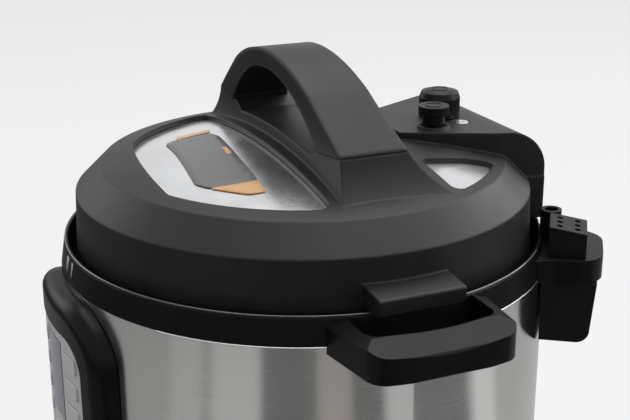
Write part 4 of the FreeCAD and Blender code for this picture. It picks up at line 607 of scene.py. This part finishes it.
def add_piece(name: str, mesh: bpy.types.Mesh, body: Body, finish: Finish,
              made: Made) -> None:
    """Puts a mesh in the scene as a dressed piece that rides on a body.

    Args:
        name: The piece's name.
        mesh: Its mesh, in metres in the shared frame.
        body: The body that it rides on.
        finish: Its finish.
        made: Materials made so far, by finish name.
    """
    piece = put_in_scene(name, mesh)
    mesh.materials.append(worn(finish, made))
    for polygon in mesh.polygons:
        polygon.use_smooth = True
    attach(piece, body.value)
    LOG.info("piece %s rides on %s", name, body.value)


def loop_corners(points: Sequence[Point2], radius: float, steps: int = 8) -> List[Point2]:
    """Rounds the corners of a closed plan outline.

    Args:
        points: The outline's corners, in mm.
        radius: The corner radius wanted, in mm; short sides get less.
        steps: Segments per corner.

    Returns:
        The rounded outline.
    """
    rounded: List[Point2] = []
    count = len(points)
    for index, point in enumerate(points):
        here = Vector(point)
        before = Vector(points[index - 1]) - here
        after = Vector(points[(index + 1) % count]) - here
        reach = min(radius, before.length * CORNER_SHARE, after.length * CORNER_SHARE)
        start = here + before.normalized() * reach
        end = here + after.normalized() * reach
        for step in range(steps + 1):
            part = step / steps
            bend = start * (1 - part) ** 2 + here * 2 * part * (1 - part) + end * part ** 2
            rounded.append((bend.x, bend.y))
    return rounded


def draped_patch(name: str, outline: Sequence[Point2], top: Callable[[float, float], float],
                 lift: float, thick: float) -> bpy.types.Mesh:
    """A thin closed patch that follows a curved surface.

    Args:
        name: The mesh's name.
        outline: Its plan outline, in mm.
        top: Height of the surface at a plan point, in mm.
        lift: How far the patch's underside lies over the surface, in mm.
        thick: The patch's thickness, in mm.

    Returns:
        The mesh, in metres.
    """
    work = bmesh.new()
    ring = [work.verts.new((x, y, 0.0)) for x, y in outline]
    face = work.faces.new(ring)
    if face.normal.z < 0:
        face.normal_flip()
    bmesh.ops.triangulate(work, faces=[face])
    for _ in range(PATCH_ROUNDS):
        long_edges = [edge for edge in work.edges if edge.calc_length() > PATCH_EDGE]
        if long_edges:
            bmesh.ops.subdivide_edges(work, edges=long_edges, cuts=1, use_grid_fill=True)
    bmesh.ops.triangulate(work, faces=work.faces[:])
    extruded = bmesh.ops.extrude_face_region(work, geom=work.faces[:])
    upper = {item for item in extruded["geom"] if isinstance(item, bmesh.types.BMVert)}
    for vertex in work.verts:
        x, y = vertex.co.x, vertex.co.y
        rise = lift + (thick if vertex in upper else 0.0)
        vertex.co = Vector((x, y, top(x, y) + rise)) * MM
    return closed(work, name)


def wall_patch(name: str, outline: Sequence[Point2], radius: Callable[[float], float],
               lift: float, thick: float) -> bpy.types.Mesh:
    """A thin closed patch on a round wall.

    Args:
        name: The mesh's name.
        outline: Points of angle in degrees and height in mm.
        radius: The wall's radius at a height, both in mm.
        lift: How far the patch's back lies off the wall, in mm.
        thick: The patch's thickness, in mm.

    Returns:
        The mesh, in metres.
    """
    work = bmesh.new()
    rings: List[List[bmesh.types.BMVert]] = []
    for rise in (lift, lift + thick):
        rings.append([
            work.verts.new(Vector(polar(radius(height) + rise, angle, height)) * MM)
            for angle, height in outline
        ])
    work.faces.new(rings[0])
    work.faces.new(rings[1])
    for index in range(len(outline)):
        follow = (index + 1) % len(outline)
        work.faces.new((rings[0][index], rings[0][follow], rings[1][follow], rings[1][index]))
    return closed(work, name)


def turned_ring(name: str, profile: Sequence[Point2], centre: Point2, segments: int,
                start: float = 0.0, sweep: float = FULL_TURN) -> bpy.types.Mesh:
    """A ring turned from a closed profile.

    Args:
        name: The mesh's name.
        profile: Points of radius and height, in mm.
        centre: The ring's middle in plan, in mm.
        segments: Steps round the ring.
        start: First angle, in degrees.
        sweep: Angle covered, in degrees.

    Returns:
        The mesh, in metres.
    """
    work = bmesh.new()
    whole = sweep >= FULL_TURN
    turns = segments if whole else segments + 1
    rows: List[List[bmesh.types.BMVert]] = []
    for step in range(turns):
        angle = start + sweep * step / segments
        points = [polar(radius, angle, height) for radius, height in profile]
        rows.append([
            work.verts.new(Vector((centre[0] + x, centre[1] + y, z)) * MM) for x, y, z in points
        ])
    for step in range(segments):
        here, there = rows[step], rows[(step + 1) % turns]
        for index in range(len(profile)):
            follow = (index + 1) % len(profile)
            work.faces.new((here[index], here[follow], there[follow], there[index]))
    if not whole:
        work.faces.new(rows[0])
        work.faces.new(rows[-1])
    return closed(work, name)


def round_profile(radius: float, height: float, thick: float, steps: int = 8) -> List[Point2]:
    """A small round section for a ring.

    Args:
        radius: The ring's radius to the section's middle, in mm.
        height: The section's height, in mm.
        thick: The section's radius, in mm.
        steps: Points round the section.

    Returns:
        The section's points.
    """
    turns = [2 * math.pi * step / steps for step in range(steps)]
    return [(radius + thick * math.cos(turn), height + thick * math.sin(turn)) for turn in turns]


# ---------------------------------------------------------------- studio


@dataclass(frozen=True)
class Lamp:
    """A soft rectangular lamp that the camera does not see."""

    name: str
    place: Point3
    size: Point2
    energy: float

    def hang(self, target: Point3) -> None:
        """Hangs the lamp.

        Args:
            target: The point that it faces, in metres.
        """
        data = bpy.data.lights.new(self.name, "AREA")
        data.shape = "RECTANGLE"
        data.size, data.size_y = self.size
        data.energy = self.energy
        lamp = put_in_scene(self.name, data)
        lamp.location = self.place
        ahead = Vector(target) - Vector(self.place)
        lamp.rotation_euler = ahead.to_track_quat("-Z", "Y").to_euler()
        lamp.visible_camera = False
        LOG.info("%s hung", self.name)


@dataclass
class Studio:
    """Pale floor, soft lights, reflection cards and the camera."""

    camera_place: Point3 = (0.57839, -0.24551, 0.44932)
    camera_target: Point3 = (0.00092, 0.00646, 0.23041)
    camera_roll: float = -0.097
    lens: float = 69.97
    sensor: float = 36.0
    clip_start: float = 0.01
    floor_radius: float = 7.0
    floor_segments: int = 128
    floor_roughness: float = 0.2
    floor_mottle: float = 3.0
    floor_shade: float = 0.99
    floor_tone: Colour = (0.13, 0.13, 0.131)
    floor_glow: Colour = (0.74, 0.74, 0.742)
    sky_tone: Colour = (0.83, 0.83, 0.835)
    ambient: Colour = (0.36, 0.36, 0.365)
    card_rings: Tuple[Point2, ...] = ((0.2, 1.0), (0.7, 1.0), (0.8, 0.12), (2.4, 0.12))
    card_height: float = 0.0006
    card_steps: int = 360
    lamp_target: Point3 = (0.0, 0.0, 0.2)
    lamps: Tuple[Lamp, ...] = (
        Lamp("lamp_top", (-0.1, 0.25, 1.5), (1.4, 1.4), 19.0),
        Lamp("lamp_right", (0.7, 1.3, 0.8), (0.5, 0.9), 6.0),
        Lamp("lamp_back", (-0.3, 1.6, 1.1), (0.8, 0.8), 10.0),
        Lamp("lamp_left", (-1.1, -0.9, 0.8), (0.6, 0.9), 3.0),
    )
    card_bands: List[Tuple[float, Colour]] = field(default_factory=lambda: [
        (-180.0, (0.3, 0.3, 0.295)),
        (-112.0, (0.36, 0.36, 0.355)),
        (-94.0, (0.39, 0.39, 0.384)),
        (-80.0, (0.39, 0.39, 0.384)),
        (-77.0, (0.49, 0.49, 0.483)),
        (-66.0, (0.5, 0.5, 0.492)),
        (-63.0, (0.38, 0.38, 0.374)),
        (-61.0, (0.39, 0.39, 0.384)),
        (-58.5, (0.57, 0.57, 0.561)),
        (-41.5, (0.58, 0.58, 0.571)),
        (-38.5, (0.19, 0.19, 0.187)),
        (-26.0, (0.18, 0.18, 0.177)),
        (-19.5, (0.19, 0.19, 0.187)),
        (-16.5, (0.44, 0.4, 0.375)),
        (-5.5, (0.43, 0.39, 0.37)),
        (-3.5, (0.19, 0.19, 0.187)),
        (7.0, (0.2, 0.2, 0.197)),
        (10.5, (0.62, 0.62, 0.611)),
        (19.5, (0.62, 0.62, 0.611)),
        (23.0, (0.21, 0.21, 0.207)),
        (46.0, (0.21, 0.21, 0.207)),
        (52.0, (0.75, 0.75, 0.739)),
        (61.5, (0.75, 0.75, 0.739)),
        (65.5, (0.5, 0.5, 0.492)),
        (80.0, (0.5, 0.5, 0.492)),
        (120.0, (0.55, 0.55, 0.542)),
        (150.0, (0.45, 0.45, 0.443)),
        (180.0, (0.3, 0.3, 0.295)),
    ])

    def build(self) -> None:
        """Builds the whole studio."""
        self.build_floor()
        self.build_cards()
        self.build_world()
        for lamp in self.lamps:
            lamp.hang(self.lamp_target)
        self.build_camera()

    def build_floor(self) -> None:
        """Lays the plain pale floor, with a glow that only the camera sees."""
        work = bmesh.new()
        bmesh.ops.create_circle(work, cap_ends=True, segments=self.floor_segments,
                                radius=self.floor_radius)
        mesh = stored(work, "studio_floor")
        floor = put_in_scene("studio_floor", mesh)
        shade = Shader("floor_paper")
        paper = shade.put(shade.add("BsdfDiffuse"), Roughness=self.floor_roughness)
        mottle = shade.noise(evenly(self.floor_mottle), FINE_OCTAVES)
        shade.link(shade.ramp(mottle, toned(self.floor_tone, self.floor_shade), self.floor_tone),
                   paper.inputs["Color"])
        path = shade.add("LightPath")
        glow = shade.put(shade.add("Emission"), Color=(*self.floor_glow, 1.0))
        shade.link(path.outputs["Is Camera Ray"], glow.inputs["Strength"])
        seen = shade.add("AddShader")
        shade.link(paper.outputs[0], seen.inputs[0])
        shade.link(glow.outputs[0], seen.inputs[1])
        mesh.materials.append(shade.close(seen))
        LOG.info("floor laid")

    def card_tone(self, angle: float) -> Colour:
        """Tone of the cards at an angle round the cooker.

        Args:
            angle: The angle in degrees, from -180 to 180.

        Returns:
            The tone between the two nearest bands.
        """
        for (first, low), (second, high) in zip(self.card_bands, self.card_bands[1:]):
            if first <= angle <= second:
                part = (angle - first) / (second - first)
                return tuple(a + (b - a) * part for a, b in zip(low, high))
        return self.card_bands[0][1]

    def build_cards(self) -> None:
        """Lays grey reflection cards on the floor, which only the surfaces above them see."""
        work = bmesh.new()
        tint = work.loops.layers.float_color.new("card_tone")
        count = self.card_steps
        pace = FULL_TURN / count
        angles = [FULL_TURN * step / count - FULL_TURN / 2 for step in range(count)]
        rows = [
            [work.verts.new(polar(reach, angle, self.card_height)) for angle in angles]
            for reach, _ in self.card_rings
        ]
        for ring in range(len(rows) - 1):
            near, far = self.card_rings[ring][1], self.card_rings[ring + 1][1]
            for step in range(count):
                follow = (step + 1) % count
                face = work.faces.new((rows[ring][step], rows[ring + 1][step],
                                       rows[ring + 1][follow], rows[ring][follow]))
                first, second = self.card_tone(angles[step]), self.card_tone(angles[step] + pace)
                tones = (toned(first, near), toned(first, far),
                         toned(second, far), toned(second, near))
                for loop, tone in zip(face.loops, tones):
                    loop[tint] = (*tone, 1.0)
        mesh = stored(work, "studio_cards")
        cards = put_in_scene("studio_cards", mesh)
        cards.visible_camera = False
        cards.visible_shadow = False
        cards.visible_transmission = False
        shade = Shader("card_grey")
        paint = shade.add("VertexColor", layer_name="card_tone")
        glow = shade.put(shade.add("Emission"), Strength=1.0)
        shade.link(paint.outputs["Color"], glow.inputs["Color"])
        below = shade.add("NewGeometry").outputs["Backfacing"]
        mesh.materials.append(shade.close(shade.mixed(below, glow, shade.add("BsdfTransparent"))))
        LOG.info("reflection cards laid")

    def build_world(self) -> None:
        """Sets a pale sky for seen and mirrored rays and a softer one for light."""
        world = bpy.data.worlds.new("studio_sky")
        bpy.context.scene.world = world
        world.use_nodes = True
        nodes = Nodes(world.node_tree)
        path = nodes.add("LightPath")
        seen = nodes.add("Math", operation="MAXIMUM")
        nodes.link(path.outputs["Is Camera Ray"], seen.inputs[0])
        nodes.link(path.outputs["Is Glossy Ray"], seen.inputs[1])
        through = nodes.add("Math", operation="MAXIMUM")
        nodes.link(seen.outputs[0], through.inputs[0])
        nodes.link(path.outputs["Is Transmission Ray"], through.inputs[1])
        soft = nodes.put(nodes.add("Background"), Color=(*self.ambient, 1.0), Strength=1.0)
        pale = nodes.put(nodes.add("Background"), Color=(*self.sky_tone, 1.0), Strength=1.0)
        sky = nodes.mixed(through.outputs[0], soft, pale)
        nodes.link(sky.outputs[0], nodes.add("OutputWorld").inputs["Surface"])
        LOG.info("sky set")

    def build_camera(self) -> None:
        """Sets the camera at the fitted view."""
        data = bpy.data.cameras.new("camera")
        data.lens = self.lens
        data.sensor_width = self.sensor
        data.sensor_fit = "HORIZONTAL"
        data.clip_start = self.clip_start
        camera = put_in_scene("camera", data)
        place = Vector(self.camera_place)
        ahead = (Vector(self.camera_target) - place).normalized()
        level = ahead.cross(Vector((0.0, 0.0, 1.0))).normalized()
        above = level.cross(ahead)
        roll = math.radians(self.camera_roll)
        right = level * math.cos(roll) + above * math.sin(roll)
        top = above * math.cos(roll) - level * math.sin(roll)
        turn = Matrix((right, top, -ahead)).transposed().to_4x4()
        camera.matrix_world = Matrix.Translation(place) @ turn
        bpy.context.scene.camera = camera
        bpy.context.scene.view_settings.view_transform = "Standard"


# ---------------------------------------------------------------- cooker


@dataclass
class NodeDresser:
    """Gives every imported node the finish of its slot."""

    made: Made = field(default_factory=dict)

    def slot_of(self) -> Dict[str, str]:
        """Slot of each node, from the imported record.

        Returns:
            Slot names by node name.
        """
        return {entry["node"]: entry["material_slot"] for entry in frame["record"]["subparts"]}

    def dress(self) -> None:
        """Puts the finishes into the nodes' material slots."""
        slots = self.slot_of()
        for name, node in frame["nodes"].items():
            finish = NODE_FINISHES[Slot(slots[name])]
            node.data.materials.clear()
            node.data.materials.append(worn(finish, self.made))
            LOG.info("node %s wears %s", name, finish.name)


@dataclass
class LidLabel:
    """The plain two-tone sticker on the steel plate under the front window."""

    made: Made
    plate_top: float = 271.0
    plate_radius: float = 500.5
    plate_flat: float = 3.0
    lift: float = 0.03
    thick: float = 0.06
    patch_lift: float = 0.07
    field_plan: Tuple[Point2, ...] = (
        (-41.0, -59.5), (-40.7, -38.5), (-31.0, -36.6), (17.9, -41.5), (46.4, -43.5), (44.9, -55.9),
        (42.7, -67.5), (34.0, -72.0), (12.5, -69.6), (-13.6, -66.6), (-36.9, -65.2),
    )
    field_corner: float = 3.0
    wedge_plan: Tuple[Point2, ...] = (
        (42.7, -67.5), (44.9, -55.9), (46.4, -43.5), (60.5, -44.4), (59.0, -53.4), (50.3, -61.5),
    )
    wedge_corner: float = 2.5
    strip_plan: Tuple[Point2, ...] = (
        (-47.1, -55.8), (-49.3, -36.2), (-43.4, -37.2), (-41.6, -57.1),
    )
    strip_corner: float = 0.8
    patch_plan: Tuple[Point2, ...] = ((-8.4, -43.0), (-6.8, -40.7), (5.0, -41.8), (4.3, -44.5))
    patch_corner: float = 0.5

    def plate_height(self, x: float, y: float) -> float:
        """Height of the plate's top at a plan point, in mm."""
        reach = max(math.hypot(x, y) - self.plate_flat, 0.0)
        return self.plate_top - self.plate_radius + math.sqrt(self.plate_radius ** 2 - reach ** 2)

    def build(self) -> None:
        """Builds the sticker's four fields."""
        parts: List[Tuple[str, Sequence[Point2], float, Finish, float]] = [
            ("sticker_field", self.field_plan, self.field_corner, GREY_FILM, 0.0),
            ("sticker_end", self.wedge_plan, self.wedge_corner, ORANGE_FILM, 0.0),
            ("sticker_strip", self.strip_plan, self.strip_corner, ORANGE_FILM, 0.0),
            ("sticker_patch", self.patch_plan, self.patch_corner, ORANGE_FILM, self.patch_lift),
        ]
        for name, plan, corner, finish, lift in parts:
            mesh = draped_patch(name, loop_corners(plan, corner), self.plate_height,
                                self.lift + lift, self.thick)
            add_piece(name, mesh, Body.LID, finish, self.made)


@dataclass
class RimMarks:
    """Pale setting marks on the rim band, a bead of painted highlight along its lip, and the steel's
    rolled top edge, whose lighter tone is painted reflection.
    """

    made: Made
    band_radius: float = 130.3
    band_base: float = 211.0
    lip_radius: float = 128.2
    lip_base: float = 223.8
    bars: Tuple[Tuple[float, float, float, float], ...] = (
        (-91.6, 1.0, 215.5, 222.8), (-87.6, 0.5, 215.0, 222.4),
    )
    bar_lift: float = 0.02
    bar_thick: float = 0.15
    segments: int = 240
    lip_bead: Point2 = (127.6, 225.0)
    lip_thick: float = 0.42
    lip_start: float = 66.0
    lip_sweep: float = 340.0
    steel_bead: Point2 = (130.0, 210.6)
    steel_thick: float = 0.5
    steel_start: float = -55.0
    steel_sweep: float = 285.0

    def band_reach(self, height: float) -> float:
        """Radius of the band's face at a height, in mm."""
        part = (height - self.band_base) / (self.lip_base - self.band_base)
        return self.band_radius + (self.lip_radius - self.band_radius) * part

    def build(self) -> None:
        """Builds the marks and the two edge beads: painted highlight on the lip and painted
        reflection on the steel's top edge.
        """
        for index, (angle, half, low, high) in enumerate(self.bars):
            name = f"rim_bar_{index + 1}"
            left, right = angle - half, angle + half
            outline = [(left, low), (right, low), (right, high), (left, high)]
            mesh = wall_patch(name, outline, self.band_reach, self.bar_lift, self.bar_thick)
            add_piece(name, mesh, Body.BASE, PALE_INK, self.made)
        axis = (0.0, 0.0)
        # The lip bead's lighter, glossier plastic is painted highlight along the lip's edge.
        lip = turned_ring("lip_highlight_edge", round_profile(*self.lip_bead, self.lip_thick), axis,
                          self.segments, self.lip_start, self.lip_sweep)
        add_piece("lip_highlight_edge", lip, Body.BASE, LIP_HIGHLIGHT, self.made)
        # The steel bead is the shell's real rolled top edge; its lighter steel is painted
        # reflection.
        steel = turned_ring("steel_edge_reflection", round_profile(*self.steel_bead, self.steel_thick), axis,
                            self.segments, self.steel_start, self.steel_sweep)
        add_piece("steel_edge_reflection", steel, Body.BASE, ROLLED_EDGE_REFLECTION, self.made)


@dataclass
class ValveMarks:
    """Raised rings on the steam valve cap and the release button."""

    made: Made
    cap_centre: Point2 = (0.4, 82.0)
    cap_top: float = 290.6
    cap_ring: float = 4.4
    button_centre: Point2 = (21.0, 67.0)
    button_top: float = 287.6
    button_ring: float = 4.6
    thick: float = 0.35
    segments: int = 64

    def build(self) -> None:
        """Builds the two rings."""
        finish = NODE_FINISHES[Slot.VALVE_PLASTIC]
        rings: List[Tuple[str, Point2, float, float, Body]] = [
            ("valve_cap_ring", self.cap_centre, self.cap_ring, self.cap_top, Body.STEAM_VALVE),
            ("button_ring", self.button_centre, self.button_ring, self.button_top,
             Body.RELEASE_BUTTON),
        ]
        for name, centre, radius, height, body in rings:
            profile = round_profile(radius, height, self.thick)
            mesh = turned_ring(name, profile, centre, self.segments)
            add_piece(name, mesh, body, finish, self.made)


def main() -> None:
    """Builds the studio and dresses the cooker."""
    logging.basicConfig(level=logging.INFO, format="%(name)s: %(message)s")
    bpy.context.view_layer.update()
    Studio().build()
    dresser = NodeDresser()
    dresser.dress()
    LidLabel(dresser.made).build()
    RimMarks(dresser.made).build()
    ValveMarks(dresser.made).build()


if __name__ == "__main__":
    main()
